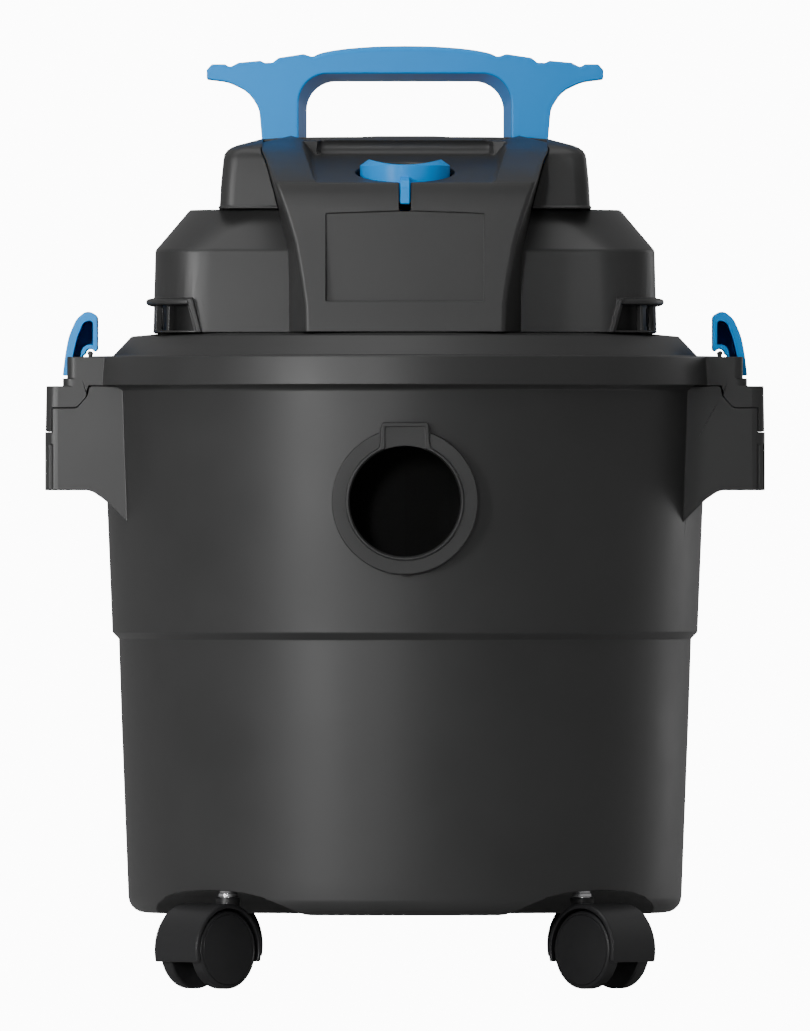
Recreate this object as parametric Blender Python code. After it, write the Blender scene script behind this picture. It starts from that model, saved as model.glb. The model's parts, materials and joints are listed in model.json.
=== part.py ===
"""Shop vacuum: a round tank on four twin-wheel casters with a lift-off motor head.

Lengths below are in millimetres and become metres when a mesh is made. The origin is on the
floor under the tank's axis, +Z is up and the hose inlet faces -Y. Left is -X.
"""
import math

import bmesh
import bpy
from mathutils import Vector

MM = 0.001
GAP = 0.3              # air between two pieces that touch
TURN = 40              # facets of the tank and the lid, so that they nest
INNER_TURN = 24        # facets of the turned pieces inside
WALL = 2.5             # moulded wall

TANK_BOTTOM = 33.1
TANK_RIM = 278.4
TANK_FLANGE = 140.5
LID_RADIUS = 144.0
LID_EDGE = 270.0       # lower edge of the lid's band
LID_LEDGE = 283.3
LID_TOP = 293.4
LID_EYE = 42.0         # suction opening in the lid
HOUSING_BASE = LID_TOP + GAP
HOUSING_TOP = 349.0
COVER_TOP = 382.0

INLET_Z = 218.0
INLET_BORE = 24.7
INLET_FACE = -138.6
INLET_FLANGE = 32.7

GRIP_HALF = 48.6       # half length of the side grips along Y
NOTCH_HALF = 25.6      # half width of the latch's notch
NOTCH_FLOOR = 250.4
LATCH_HALF = 25.0
HINGE_X = 141.6        # bead on the lid that each latch turns on
HINGE_Z = 284.6
BEAD_RADIUS = 1.1

STEM_XY = 79.3         # caster stems, along X and along Y
TRAIL = 12.5           # axle behind the swivel axis
AXLE_Z = 17.5
WHEEL_RADIUS = 17.5
WHEEL_INNER = 6.4
WHEEL_OUTER = 13.1
HOOD_RADIUS = 20.8
HOOD_HALF = 13.7
POCKET_TOP = 44.1
SOCKET_TOP = 62.0

BUTTON_Y = -78.0
BUTTON_RADIUS = 20.1
BUTTON_TRAVEL = 3.0

SCREW_X = 80.0
SCREW_Y = 46.0


# ---------------------------------------------------------------- tools

def make_material(name, colour, roughness, metallic=0.0):
    material = bpy.data.materials.new(name)
    material.use_nodes = True
    shader = material.node_tree.nodes["Principled BSDF"]
    shader.inputs["Base Color"].default_value = (*colour, 1.0)
    shader.inputs["Roughness"].default_value = roughness
    shader.inputs["Metallic"].default_value = metallic
    return material


def solid(name, points, faces, origin=(0.0, 0.0, 0.0)):
    """One closed mesh object; origin is where the object's own axes sit."""
    base = Vector(origin)
    mesh = bpy.data.meshes.new(name)
    mesh.from_pydata([(Vector(p) - base) * MM for p in points], [], faces)
    shape = bmesh.new()
    shape.from_mesh(mesh)
    bmesh.ops.recalc_face_normals(shape, faces=shape.faces)
    shape.to_mesh(mesh)
    shape.free()
    item = bpy.data.objects.new(name, mesh)
    item.location = base * MM
    bpy.context.scene.collection.objects.link(item)
    return item


def combine(target, tool, operation="DIFFERENCE"):
    """Applies a Boolean to target and removes the tool."""
    modifier = target.modifiers.new("combine", "BOOLEAN")
    modifier.operation = operation
    modifier.object = tool
    graph = bpy.context.evaluated_depsgraph_get()
    mesh = bpy.data.meshes.new_from_object(target.evaluated_get(graph))
    target.modifiers.remove(modifier)
    target.data = mesh
    bpy.data.objects.remove(tool)
    return target


def join(target, tool):
    return combine(target, tool, "UNION")


def finish(item, material, smooth=True):
    item.data.materials.clear()
    item.data.materials.append(material)
    if smooth:
        item.data.shade_smooth()
        item.data.set_sharp_from_angle(angle=math.radians(35.0))
    return item


def arc(centre, radius, start, end, steps):
    """Points of an arc, angles in degrees."""
    points = []
    for step in range(steps + 1):
        angle = math.radians(start + (end - start) * step / steps)
        points.append((centre[0] + radius * math.cos(angle), centre[1] + radius * math.sin(angle)))
    return points


def rounded(half_x, half_y, radius, steps=5):
    """Outline of a rounded rectangle about the origin."""
    points = []
    for sign_x, sign_y, start in ((1, 1, 0), (-1, 1, 90), (-1, -1, 180), (1, -1, 270)):
        centre = (sign_x * (half_x - radius), sign_y * (half_y - radius))
        points += arc(centre, radius, start, start + 90, steps)
    return points


def turned(name, profile, centre=(0.0, 0.0), segments=TURN, origin=(0.0, 0.0, 0.0)):
    """Turns a closed profile of (radius, height) about a vertical axis at centre."""
    points = []
    rings = []
    for radius, height in profile:
        if radius == 0.0:
            rings.append([len(points)] * segments)
            points.append((centre[0], centre[1], height))
            continue
        rings.append(list(range(len(points), len(points) + segments)))
        for step in range(segments):
            angle = 2.0 * math.pi * step / segments
            points.append((centre[0] + radius * math.cos(angle),
                           centre[1] + radius * math.sin(angle), height))
    faces = []
    for index in range(len(rings)):
        lower, upper = rings[index], rings[(index + 1) % len(rings)]
        for step in range(segments):
            after = (step + 1) % segments
            corners = [lower[step], lower[after], upper[after], upper[step]]
            unique = list(dict.fromkeys(corners))
            if len(unique) > 2:
                faces.append(unique)
    return solid(name, points, faces, origin)


def prism(name, outline, axis, low, high, origin=(0.0, 0.0, 0.0)):
    """Extrudes an outline along X, Y or Z; it lies in (Y, Z), (X, Z) or (X, Y)."""
    def place(point, depth):
        if axis == "X":
            return (depth, point[0], point[1])
        if axis == "Y":
            return (point[0], depth, point[1])
        return (point[0], point[1], depth)
    return lofted(name, [[place(p, low) for p in outline], [place(p, high) for p in outline]], origin)


def lofted(name, loops, origin=(0.0, 0.0, 0.0)):
    """Skins loops of equal length and caps both ends."""
    size = len(loops[0])
    points = [point for loop in loops for point in loop]
    faces = [list(range(size)), list(range((len(loops) - 1) * size, len(loops) * size))]
    for level in range(len(loops) - 1):
        for step in range(size):
            after = (step + 1) % size
            faces.append([level * size + step, level * size + after,
                          (level + 1) * size + after, (level + 1) * size + step])
    return solid(name, points, faces, origin)


def box(name, low, high, origin=(0.0, 0.0, 0.0)):
    outline = [(low[0], low[1]), (high[0], low[1]), (high[0], high[1]), (low[0], high[1])]
    return prism(name, outline, "Z", low[2], high[2], origin)


def rod(name, start, end, radius, segments=16, origin=(0.0, 0.0, 0.0)):
    """A round bar between two points."""
    start, end = Vector(start), Vector(end)
    along = (end - start).normalized()
    side = along.orthogonal().normalized()
    other = along.cross(side)
    loops = []
    for middle in (start, end):
        loop = []
        for step in range(segments):
            angle = 2.0 * math.pi * step / segments
            loop.append(middle + side * radius * math.cos(angle) + other * radius * math.sin(angle))
        loops.append([tuple(p) for p in loop])
    return lofted(name, loops, origin)


def mirrored(outline, side):
    """An outline drawn for the left side (-X), put on the side asked for."""
    return [(-side * x, z) for x, z in outline]


def corners():
    for front_back, sign_y in (("front", -1), ("rear", 1)):
        for left_right, sign_x in (("left", -1), ("right", 1)):
            yield front_back + "_" + left_right, sign_x, sign_y


# ---------------------------------------------------------------- tank

TANK_OUTSIDE = [(0.0, TANK_BOTTOM), (117.6, TANK_BOTTOM), (122.6, 35.4), (124.6, 41.0),
                (127.6, 120.0), (128.7, 156.2), (131.7, 159.1), (134.1, 218.0), (135.7, 268.0),
                (TANK_FLANGE, 271.0), (TANK_FLANGE, TANK_RIM), (0.0, TANK_RIM)]
# Shallow dome over each caster, turned about its stem.
POCKET = [(48.0, 33.0), (46.0, 33.6), (39.0, 37.8), (31.6, 41.0), (24.0, 42.8), (16.0, 43.8),
          (9.0, POCKET_TOP)]
TANK_INSIDE = [(0.0, TANK_BOTTOM + WALL), (116.6, TANK_BOTTOM + WALL), (122.0, 42.0),
               (126.2, 156.2), (129.2, 159.6), (131.6, 218.0), (133.2, 268.0), (133.2, 290.0),
               (0.0, 290.0)]

# Left grip seen from the front: its top follows the lid's block.
GRIP_OUTLINE = [(-161.5, 223.0), (-161.5, 249.1), (-156.3, 249.1), (-156.3, 259.8), (-147.1, 259.8),
                (-144.3, 261.6), (-142.9, 265.6), (-141.6, 269.3), (-120.0, 269.3), (-120.0, 207.0),
                (-124.5, 208.5), (-133.7, 217.4), (-138.5, 221.6), (-144.0, 223.0)]
GRIP_HOLLOW = [(-158.5, 200.0), (-158.5, 245.0), (-139.0, 245.0), (-139.0, 200.0)]


def build_tank(plastic):
    tank = turned("tank", TANK_OUTSIDE)
    cavity = turned("cavity", TANK_INSIDE)
    for name, sign_x, sign_y in corners():
        centre = (sign_x * STEM_XY, sign_y * STEM_XY)
        dome = [(radius + WALL, height + WALL) for radius, height in POCKET]
        turret = turned("turret", [(0.0, 20.0), (POCKET[0][0] + WALL, 20.0)] + dome
                        + [(9.0, SOCKET_TOP), (0.0, SOCKET_TOP)], centre, 24)
        combine(cavity, turret)
    combine(tank, cavity)
    for name, sign_x, sign_y in corners():
        centre = (sign_x * STEM_XY, sign_y * STEM_XY)
        pocket = turned("pocket", [(0.0, 20.0), (POCKET[0][0], 20.0)] + POCKET
                        + [(4.0 + GAP, POCKET_TOP), (4.0 + GAP, SOCKET_TOP - 3.0),
                           (0.0, SOCKET_TOP - 3.0)], centre, 24)
        combine(tank, pocket)
    combine(tank, rod("inlet_hole", (0, -150.0, INLET_Z), (0, -100.0, INLET_Z), 28.0 + GAP, 32))
    return finish(tank, plastic)


def build_side_grip(side, plastic):
    """Finger grip on the tank's flank, hollow underneath, with the latch's notch on top."""
    hand = "left" if side < 0 else "right"
    grip = prism("side_grip_" + hand, mirrored(GRIP_OUTLINE, side), "Y", -GRIP_HALF, GRIP_HALF)
    wall = [(radius + GAP, height - GAP) for radius, height in TANK_OUTSIDE[4:10]]
    combine(grip, turned("wall", [(0.0, 120.0)] + wall + [(TANK_FLANGE + GAP, 290.0), (0.0, 290.0)]))
    hollow_end = GRIP_HALF - 3.0
    combine(grip, prism("hollow", mirrored(GRIP_HOLLOW, side), "Y", -hollow_end, hollow_end))
    inner, outer = sorted((side * 144.9, side * 170.0))
    combine(grip, box("notch", (inner, -NOTCH_HALF, NOTCH_FLOOR), (outer, NOTCH_HALF, 290.0)))
    return finish(grip, plastic)


def build_inlet(plastic):
    """Hose inlet: a flat flange outside the tank and a spigot through its wall."""
    flange = rod("inlet_collar", (0, INLET_FACE, INLET_Z), (0, -120.0, INLET_Z), INLET_FLANGE, 32)
    tab = [(-11.2, INLET_Z + 20.0), (11.2, INLET_Z + 20.0), (11.2, 249.4), (7.2, 253.4),
           (-7.2, 253.4), (-11.2, 249.4)]
    join(flange, prism("tab", tab, "Y", INLET_FACE + 0.6, -120.0))
    wall = [(radius + GAP, height) for radius, height in TANK_OUTSIDE[3:9]]
    combine(flange, turned("wall", [(0.0, 41.0)] + wall + [(0.0, 268.0)]))
    join(flange, rod("spigot", (0, INLET_FACE + 1.0, INLET_Z), (0, -116.0, INLET_Z), 28.0, 32))
    combine(flange, rod("bore", (0, -150.0, INLET_Z), (0, -100.0, INLET_Z), INLET_BORE, 32))
    return finish(flange, plastic)


# ---------------------------------------------------------------- lid

LID_OUTSIDE = [(LID_EYE, 240.0), (LID_EYE, LID_TOP), (111.0, LID_TOP), (123.1, 292.5),
               (131.6, LID_LEDGE + 0.4), (142.6, LID_LEDGE), (143.1, LID_LEDGE - 0.5),
               (LID_RADIUS, LID_EDGE), (LID_RADIUS, 240.0)]
LID_INSIDE = [(0.0, 200.0), (141.1, 200.0), (141.1, 280.6), (130.8, 280.6), (121.8, 289.8),
              (110.0, 290.4), (0.0, 290.4)]
LID_BLOCK = [(-130.0, LID_LEDGE - 0.3), (-151.6, LID_LEDGE - 0.3), (-151.6, 273.2), (-153.5, 273.2),
             (-153.5, 269.8), (-160.7, 269.8), (-161.0, 249.4), (-156.6, 249.4), (-156.6, 260.1),
             (-147.2, 260.1), (-144.6, 261.8), (-143.2, 265.8), (-141.8, 269.8), (-130.0, LID_EDGE)]


def build_lid(plastic):
    lid = turned("lid", LID_OUTSIDE)
    combine(lid, turned("below", [(0.0, 230.0), (160.0, 230.0), (160.0, LID_EDGE), (0.0, LID_EDGE)]))
    for side in (-1, 1):
        block = prism("block", mirrored(LID_BLOCK, side), "Y", -GRIP_HALF, GRIP_HALF)
        inner, outer = sorted((side * 144.3, side * 170.0))
        combine(block, box("notch", (inner, -NOTCH_HALF, 240.0), (outer, NOTCH_HALF, 300.0)))
        join(lid, block)
        bead = rod("bead", (side * HINGE_X, -NOTCH_HALF, HINGE_Z), (side * HINGE_X, NOTCH_HALF, HINGE_Z),
                   BEAD_RADIUS, 10)
        inner, outer = sorted((side * (HINGE_X - 0.6), side * (HINGE_X + 0.6)))
        join(bead, box("web", (inner, -NOTCH_HALF, LID_LEDGE - 1.5), (outer, NOTCH_HALF, HINGE_Z)))
        join(lid, bead)
    combine(lid, turned("inside", LID_INSIDE))
    for name, sign_x, sign_y in corners():
        hole = rod("hole", (sign_x * SCREW_X, sign_y * SCREW_Y, 280.0),
                   (sign_x * SCREW_X, sign_y * SCREW_Y, 300.0), 2.2, 12)
        combine(lid, hole)
    return finish(lid, plastic)


def ring(name, inner, outer, low, high, material, segments=INNER_TURN):
    profile = [(inner, low), (outer, low), (outer, high), (inner, high)]
    return finish(turned(name, profile, segments=segments), material)


# ---------------------------------------------------------------- latches

LATCH_OUTLINE = ([(-153.8, 274.7), (-153.3, 279.0), (-152.8, 283.3), (-152.2, 287.4), (-151.2, 292.3),
                  (-149.5, 296.1), (-147.3, 299.9), (-145.2, 302.4), (-142.4, 303.3), (-140.3, 302.5),
                  (-138.6, 300.2), (-138.2, 298.0), (-138.2, 286.6), (-138.9, 285.7)]
                 + arc((-HINGE_X, HINGE_Z), 2.0, 30, 180, 6)
                 + [(-144.9, 283.6), (-145.6, 264.0), (-148.6, 262.0), (-151.0, 268.0),
                    (-151.9, 274.7)])


def build_latch(side, blue):
    """Over-centre latch that turns on the lid's bead; its arm lies in the grip's notch."""
    hand = "left" if side < 0 else "right"
    origin = (side * HINGE_X, 0.0, HINGE_Z)
    latch = prism("latch_" + hand, mirrored(LATCH_OUTLINE, side), "Y", -LATCH_HALF, LATCH_HALF, origin)
    return finish(latch, blue)


# ---------------------------------------------------------------- casters

def build_caster(name, sign_x, sign_y, black, steel):
    """Twin-wheel caster whose axle trails outwards along the tank's diagonal."""
    stem = Vector((sign_x * STEM_XY, sign_y * STEM_XY, 0.0))
    out = Vector((sign_x, sign_y, 0.0)).normalized()
    across = Vector((-out.y, out.x, 0.0))
    axle = stem + out * TRAIL + Vector((0.0, 0.0, AXLE_Z))
    swivel_origin = tuple(stem + Vector((0.0, 0.0, POCKET_TOP)))

    def bar(label, low, high, radius, segments=16, origin=(0.0, 0.0, 0.0)):
        return rod(label, axle + across * low, axle + across * high, radius, segments, origin)

    pin = turned("caster_stem_" + name, [(0.0, 26.0), (4.0, 26.0), (4.0, SOCKET_TOP - 3.0 - GAP),
                                         (0.0, SOCKET_TOP - 3.0 - GAP)], (stem.x, stem.y), 16)

    hood = bar("caster_hood_" + name, -HOOD_HALF, HOOD_HALF, HOOD_RADIUS, 24, swivel_origin)
    combine(hood, bar("hollow", -HOOD_HALF - 5, -5.9, WHEEL_RADIUS + 1.3, 24))
    combine(hood, bar("hollow", 5.9, HOOD_HALF + 5, WHEEL_RADIUS + 1.3, 24))
    far = WHEEL_RADIUS * 3
    combine(hood, box("below", (stem.x - far, stem.y - far, -20.0), (stem.x + far, stem.y + far, 12.2)))
    boss = turned("boss", [(0.0, 20.0), (5.4, 20.0), (5.4, 40.7), (0.0, 40.7)], (stem.x, stem.y), 16)
    combine(boss, bar("clear", -20, -5.9, WHEEL_RADIUS + 1.3, 24))
    combine(boss, bar("clear", 5.9, 20, WHEEL_RADIUS + 1.3, 24))
    join(hood, boss)
    combine(hood, turned("bore", [(0.0, 25.7), (4.0 + GAP, 25.7), (4.0 + GAP, 50.0), (0.0, 50.0)],
                         (stem.x, stem.y), 16))
    combine(hood, bar("bore", -20, 20, 2.0 + GAP, 12))

    shaft = bar("caster_axle_" + name, -12.0, 12.0, 2.0, 12, tuple(axle))
    wheels = []
    for label, sign in (("a", -1), ("b", 1)):
        low, high = sorted((sign * WHEEL_INNER, sign * WHEEL_OUTER))
        wheel = bar("caster_wheel_" + name + "_" + label, low, high, WHEEL_RADIUS, 32, tuple(axle))
        low, high = sorted((sign * (WHEEL_INNER - 3.0), sign * 12.3))
        combine(wheel, bar("bore", low, high, 2.0 + GAP, 12))
        wheels.append(finish(wheel, black))
    return [finish(pin, steel), finish(hood, black), finish(shaft, steel)] + wheels


# ---------------------------------------------------------------- motor head

def level(half_x, half_y, radius, height, middle_y=0.0):
    return [(x, y + middle_y, height) for x, y in rounded(half_x, half_y, radius)]


def build_housing(plastic):
    """Rounded box over the motor, with air openings round both ends."""
    housing = lofted("motor_housing", [
        level(111.8, 70.0, 27.0, HOUSING_BASE), level(113.0, 70.8, 27.3, 306.0),
        level(112.0, 70.6, 27.0, 330.3), level(97.4, 56.0, 27.0, HOUSING_TOP)])
    brow = lofted("brow", [
        level(112.0, 69.4, 26.0, 305.6), level(116.3, 73.4, 30.0, 306.2),
        level(116.3, 73.4, 30.0, 308.4), level(112.0, 69.4, 26.0, 309.2)])
    combine(brow, box("middle", (-95.0, -90.0, 300.0), (95.0, 90.0, 315.0)))
    join(housing, brow)
    inside = lofted("inside", [
        level(109.3, 67.5, 24.5, HOUSING_BASE - 10.0), level(110.3, 67.9, 24.8, 309.0),
        level(109.5, 68.1, 24.5, 329.3), level(96.3, 54.9, 24.5, HOUSING_TOP - WALL)])
    for name, sign_x, sign_y in corners():
        centre = (sign_x * SCREW_X, sign_y * SCREW_Y)
        post = turned("post", [(0.0, 270.0), (5.0, 270.0), (5.0, 360.0), (0.0, 360.0)], centre, 16)
        combine(inside, post)
    combine(housing, inside)
    for name, sign_x, sign_y in corners():
        centre = (sign_x * SCREW_X, sign_y * SCREW_Y)
        combine(housing, turned("pilot", [(0.0, 270.0), (1.8 + GAP, 270.0), (1.8 + GAP, 316.0),
                                          (0.0, 316.0)], centre, 12))
    for side in (-1, 1):
        inner, outer = sorted((side * 91.0, side * 130.0))
        combine(housing, box("vents", (inner, -90.0, 296.2), (outer, 90.0, 304.6)))
    combine(housing, turned("motor_hole", [(0.0, 340.0), (46.3, 340.0), (46.3, 360.0), (0.0, 360.0)],
                            segments=INNER_TURN))
    return finish(housing, plastic)


def build_grille(side, plastic):
    """Ribbed screen behind the air openings of one end."""
    hand = "left" if side < 0 else "right"
    skin, inner = 2.8, 4.6
    outline = []
    for inset, sign in ((skin, 1), (inner, -1)):
        radius = 27.0 - inset
        centre_x, centre_y = 111.6 - inset - radius, 69.6 - inset - radius
        run = ([(84.0, -69.6 + inset)] + arc((centre_x, -centre_y), radius, -90, 0, 5)
               + arc((centre_x, centre_y), radius, 0, 90, 5) + [(84.0, 69.6 - inset)])
        outline += run[::sign]
    outline = [(side * x, y) for x, y in outline]
    grille = prism("vent_grille_" + hand, outline, "Z", 294.2, 307.0)
    for step in range(-4, 5):
        middle = step * 11.5
        low, high = sorted((side * 95.0, side * 120.0))
        combine(grille, box("slot", (low, middle - 4.2, 296.4), (high, middle + 4.2, 304.4)))
    return finish(grille, plastic)


LEG_INNER, LEG_OUTER = 44.0, 64.4
LEG_FRONT, LEG_BACK = -18.0, 14.0

# Front fascia: the shield, the lip and the rails over it, and the control panel between them.
SHIELD = [(HOUSING_BASE, 44.6, 52.0, -110.0), (306.0, 45.0, 52.0, -108.7), (320.0, 47.3, 52.0, -107.2),
          (333.0, 49.5, 54.0, -105.8), (347.0, 53.1, 57.0, -104.3), (354.5, 55.6, 58.6, -103.6),
          (360.5, 57.8, 60.0, -101.5), (361.6, 58.2, 60.4, -99.5), (365.0, 59.8, 61.5, -91.5),
          (368.0, 61.0, 62.5, -83.0), (376.0, 64.6, 64.8, -60.0), (383.0, 62.5, 63.2, -24.6)]
SHIELD_BACK = -24.0
PANEL_FRONT = (-100.6, 360.5)
PANEL_BACK = (-41.0, 373.5)
LABEL_Y = -103.8       # flat floor of the shallow recess in the shield


def shield(name, growth=0.0):
    """The fascia's outer form; each SHIELD row is height, front and back half width, front Y."""
    grown = [(z, front + growth, back + growth, y - growth) for z, front, back, y in SHIELD]
    return lofted(name, [
        [(-front, y, z), (front, y, z), (back, SHIELD_BACK + growth, z), (-back, SHIELD_BACK + growth, z)]
        for z, front, back, y in grown])


def build_top_cover(plastic):
    """Upper box behind the front fascia; the handle's legs pass into it."""
    base = HOUSING_TOP + GAP
    cover = lofted("top_cover", [
        level(83.7, 61.0, 7.0, base), level(82.8, 60.2, 7.0, 364.0), level(81.5, 59.0, 7.0, 372.6),
        level(75.6, 54.0, 7.0, 378.0), level(64.4, 46.0, 7.0, COVER_TOP)])
    inside = lofted("inside", [
        level(81.2, 58.5, 4.5, base - 10.0), level(80.3, 57.7, 4.5, 363.0),
        level(79.2, 56.6, 4.5, 371.4), level(74.2, 52.4, 4.5, 375.8), level(63.0, 44.6, 4.5, 379.4)])
    combine(cover, inside)
    combine(cover, shield("front", GAP))
    combine(cover, box("above", (-64.0, -90.0, 374.0), (64.0, -23.7, 400.0)))
    for side in (-1, 1):
        low, high = sorted((side * (LEG_INNER - GAP), side * (LEG_OUTER + GAP)))
        combine(cover, box("leg", (low, LEG_FRONT - GAP, 366.0), (high, LEG_BACK + GAP, 400.0)))
    return finish(cover, plastic)


def build_fascia(plastic):
    fascia = shield("front_fascia")
    combine(fascia, box("behind", (-90.0, -70.8 - GAP, 280.0), (90.0, 0.0, 331.6)))
    chamfer = [(-71.1, 280.0), (-71.1, 330.3), (-56.8, 349.7), (0.0, 349.7), (0.0, 280.0)]
    combine(fascia, prism("housing", chamfer, "X", -90.0, 90.0))
    valley = [(-140.0, 360.5), PANEL_FRONT, PANEL_BACK, (-30.0, 380.5), (-24.0, COVER_TOP),
              (-10.0, COVER_TOP), (-10.0, 400.0), (-140.0, 400.0)]
    combine(fascia, prism("valley", valley, "X", -42.0, 42.0))
    inside = lofted("inside", [
        [(-front + 2.6, y + 2.6, z), (front - 2.6, y + 2.6, z), (back - 2.6, -10.0, z),
         (-back + 2.6, -10.0, z)]
        for z, front, back, y in ((HOUSING_BASE - 10.0, 44.6, 52.0, -110.0), (333.0, 49.5, 54.0, -105.8),
                                  (347.0, 53.1, 57.0, -104.3), (357.6, 56.0, 59.0, -96.0))])
    combine(inside, box("label_backing", (-38.0, -120.0, 304.8), (38.0, LABEL_Y + WALL, 350.0)))
    combine(fascia, inside)
    under_panel = [(-94.0, 330.0), (-94.0, 358.2), (-41.5, 370.8), (-30.8, 377.6), (-24.4, 379.2),
                   (-10.0, 379.2), (-10.0, 330.0)]
    combine(fascia, prism("under_panel", under_panel, "X", -39.5, 39.5))
    well = rod("well", (0, BUTTON_Y, 340.0), (0, BUTTON_Y, 400.0), BUTTON_RADIUS + 0.8, 32)
    combine(fascia, well)
    combine(fascia, box("slot", (-2.6, -120.0, 347.3), (2.6, BUTTON_Y, 400.0)))
    combine(fascia, box("label", (-35.3, -120.0, 307.4), (35.3, LABEL_Y, 346.0)))
    return finish(fascia, plastic)


def build_rear_fascia(plastic):
    panel = lofted("rear_fascia", [
        [(x, 70.9 + 1.3, z + 321.0) for x, z in rounded(45.0, 11.0, 6.0, 3)],
        [(x, 70.9 + 5.4, z + 321.0) for x, z in rounded(45.0, 11.0, 6.0, 3)],
        [(x, 70.9 + 6.9, z + 321.0) for x, z in rounded(43.5, 9.5, 5.0, 3)]])
    combine(panel, rod("hole", (0, 60.0, 321.0), (0, 90.0, 321.0), 6.3, 16))
    return finish(panel, plastic)


def build_gland(rubber):
    gland = rod("cord_gland", (0, 71.9, 321.0), (0, 92.0, 321.0), 6.0, 16)
    join(gland, rod("rim", (0, 78.1, 321.0), (0, 80.6, 321.0), 9.0, 16))
    combine(gland, rod("bore", (0, 74.0, 321.0), (0, 100.0, 321.0), 3.6, 16))
    return finish(gland, rubber)


# Right half of the handle seen from the front: crown, finger scallops, wing tip, underside, leg.
HANDLE_TOP = [(0.0, 422.8), (12.0, 422.6), (24.0, 421.8), (32.0, 420.8), (38.1, 419.8), (41.7, 418.1),
              (44.6, 418.8), (50.0, 418.9), (56.6, 417.4), (59.8, 415.4), (62.6, 415.3), (64.8, 416.1),
              (69.5, 416.1), (74.6, 415.2), (78.7, 413.4), (81.0, 414.5), (86.4, 414.6), (89.2, 412.0),
              (89.2, 408.1)]
HANDLE_UNDER = [(88.4, 407.5), (79.6, 406.7), (73.7, 404.1), (67.3, 397.9), (64.9, 390.2),
                (LEG_OUTER, 379.6), (LEG_OUTER, 370.0), (LEG_INNER, 370.0)]
HANDLE_BEND = 13.0


def build_handle(blue):
    """Bridge handle with finger scallops along its top edge."""
    bend = (LEG_INNER + 1.0 - HANDLE_BEND, 408.4 - HANDLE_BEND)
    right = HANDLE_TOP + HANDLE_UNDER + arc(bend, HANDLE_BEND, 0, 90, 6)
    outline = right + [(-x, z) for x, z in reversed(right) if x > 0.0]
    handle = prism("handle", outline, "Y", LEG_FRONT, LEG_BACK)
    return finish(handle, blue)


def build_button(blue):
    profile = [(0.0, 352.0), (BUTTON_RADIUS, 352.0), (BUTTON_RADIUS, 368.3), (16.3, 371.0),
               (10.0, 369.4), (0.0, 368.6)]
    button = turned("power_button", profile, (0.0, BUTTON_Y), 32, (0.0, BUTTON_Y, 352.0))
    rib = [(-104.4, 350.9), (-104.4, 358.6), (-102.6, 361.0), (-90.0, 366.0), (-90.0, 350.9)]
    join(button, prism("rib", rib, "X", -2.1, 2.1))
    return finish(button, blue)


def build_spring(steel):
    """Return spring between the switch and the button."""
    turns, around, coil_radius, wire = 3.5, 12, 6.0, 0.5
    low, high = 344.0 + GAP + wire, 352.0 - GAP - wire
    loops = []
    count = int(turns * around)
    for step in range(count + 1):
        angle = 2.0 * math.pi * step / around
        height = low + (high - low) * step / count
        loop = []
        for side in range(6):
            tilt = 2.0 * math.pi * side / 6
            radius = coil_radius + wire * math.cos(tilt)
            loop.append((radius * math.cos(angle), BUTTON_Y + radius * math.sin(angle),
                         height + wire * math.sin(tilt)))
        loops.append(loop)
    return finish(lofted("button_spring", loops), steel)


def build_blower(parts):
    """Turbine, motor and shaft; the three turning pieces have their origin on the axis."""
    alloy, steel, black = parts
    items = []
    shroud = turned("turbine_shroud", [(24.0, 295.5), (62.0, 295.5), (62.0, 318.0), (60.0, 318.0),
                                       (60.0, 297.5), (24.0, 297.5)], segments=INNER_TURN)
    for angle in range(0, 180, 60):
        turn = math.radians(angle)
        along = Vector((math.cos(turn), math.sin(turn), 0.0)) * 80.0
        height = Vector((0.0, 0.0, 308.0))
        combine(shroud, rod("outlet", height - along, height + along, 6.0, 12))
    items.append(finish(shroud, alloy))

    impeller = turned("impeller", [(4.0 + GAP, 300.0), (9.0, 300.0), (9.0, 312.0), (56.0, 312.0),
                                   (56.0, 314.0), (4.0 + GAP, 314.0)], segments=INNER_TURN)
    blower_fan = turned("cooling_fan", [(4.0 + GAP, 362.0), (9.0, 362.0), (9.0, 369.0),
                                        (4.0 + GAP, 369.0)], segments=INNER_TURN)
    for item, count, reach, low, high in ((impeller, 7, 54.0, 300.5, 312.6),
                                          (blower_fan, 6, 36.0, 362.5, 368.5)):
        for step in range(count):
            turn = 2.0 * math.pi * step / count
            along = Vector((math.cos(turn), math.sin(turn), 0.0))
            across = Vector((-along.y, along.x, 0.0)) * 0.8
            tip = along * reach + across * 8.0
            outline = [along * 8.0 - across, tip - across, tip + across, along * 8.0 + across]
            join(item, prism("blade", [(p.x, p.y) for p in outline], "Z", low, high))
        items.append(finish(item, alloy if count == 7 else black))

    shaft = turned("motor_shaft", [(0.0, 298.5), (4.0, 298.5), (4.0, 372.0), (0.0, 372.0)],
                   segments=INNER_TURN)
    items.append(finish(shaft, steel))
    can = turned("motor_can", [(4.0 + 2 * GAP, 321.6), (40.0, 321.6), (42.0, 323.6), (42.0, 358.0),
                               (30.0, 360.5), (4.0 + 2 * GAP, 360.5)], segments=INNER_TURN)
    items.append(finish(can, steel))
    return items


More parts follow.
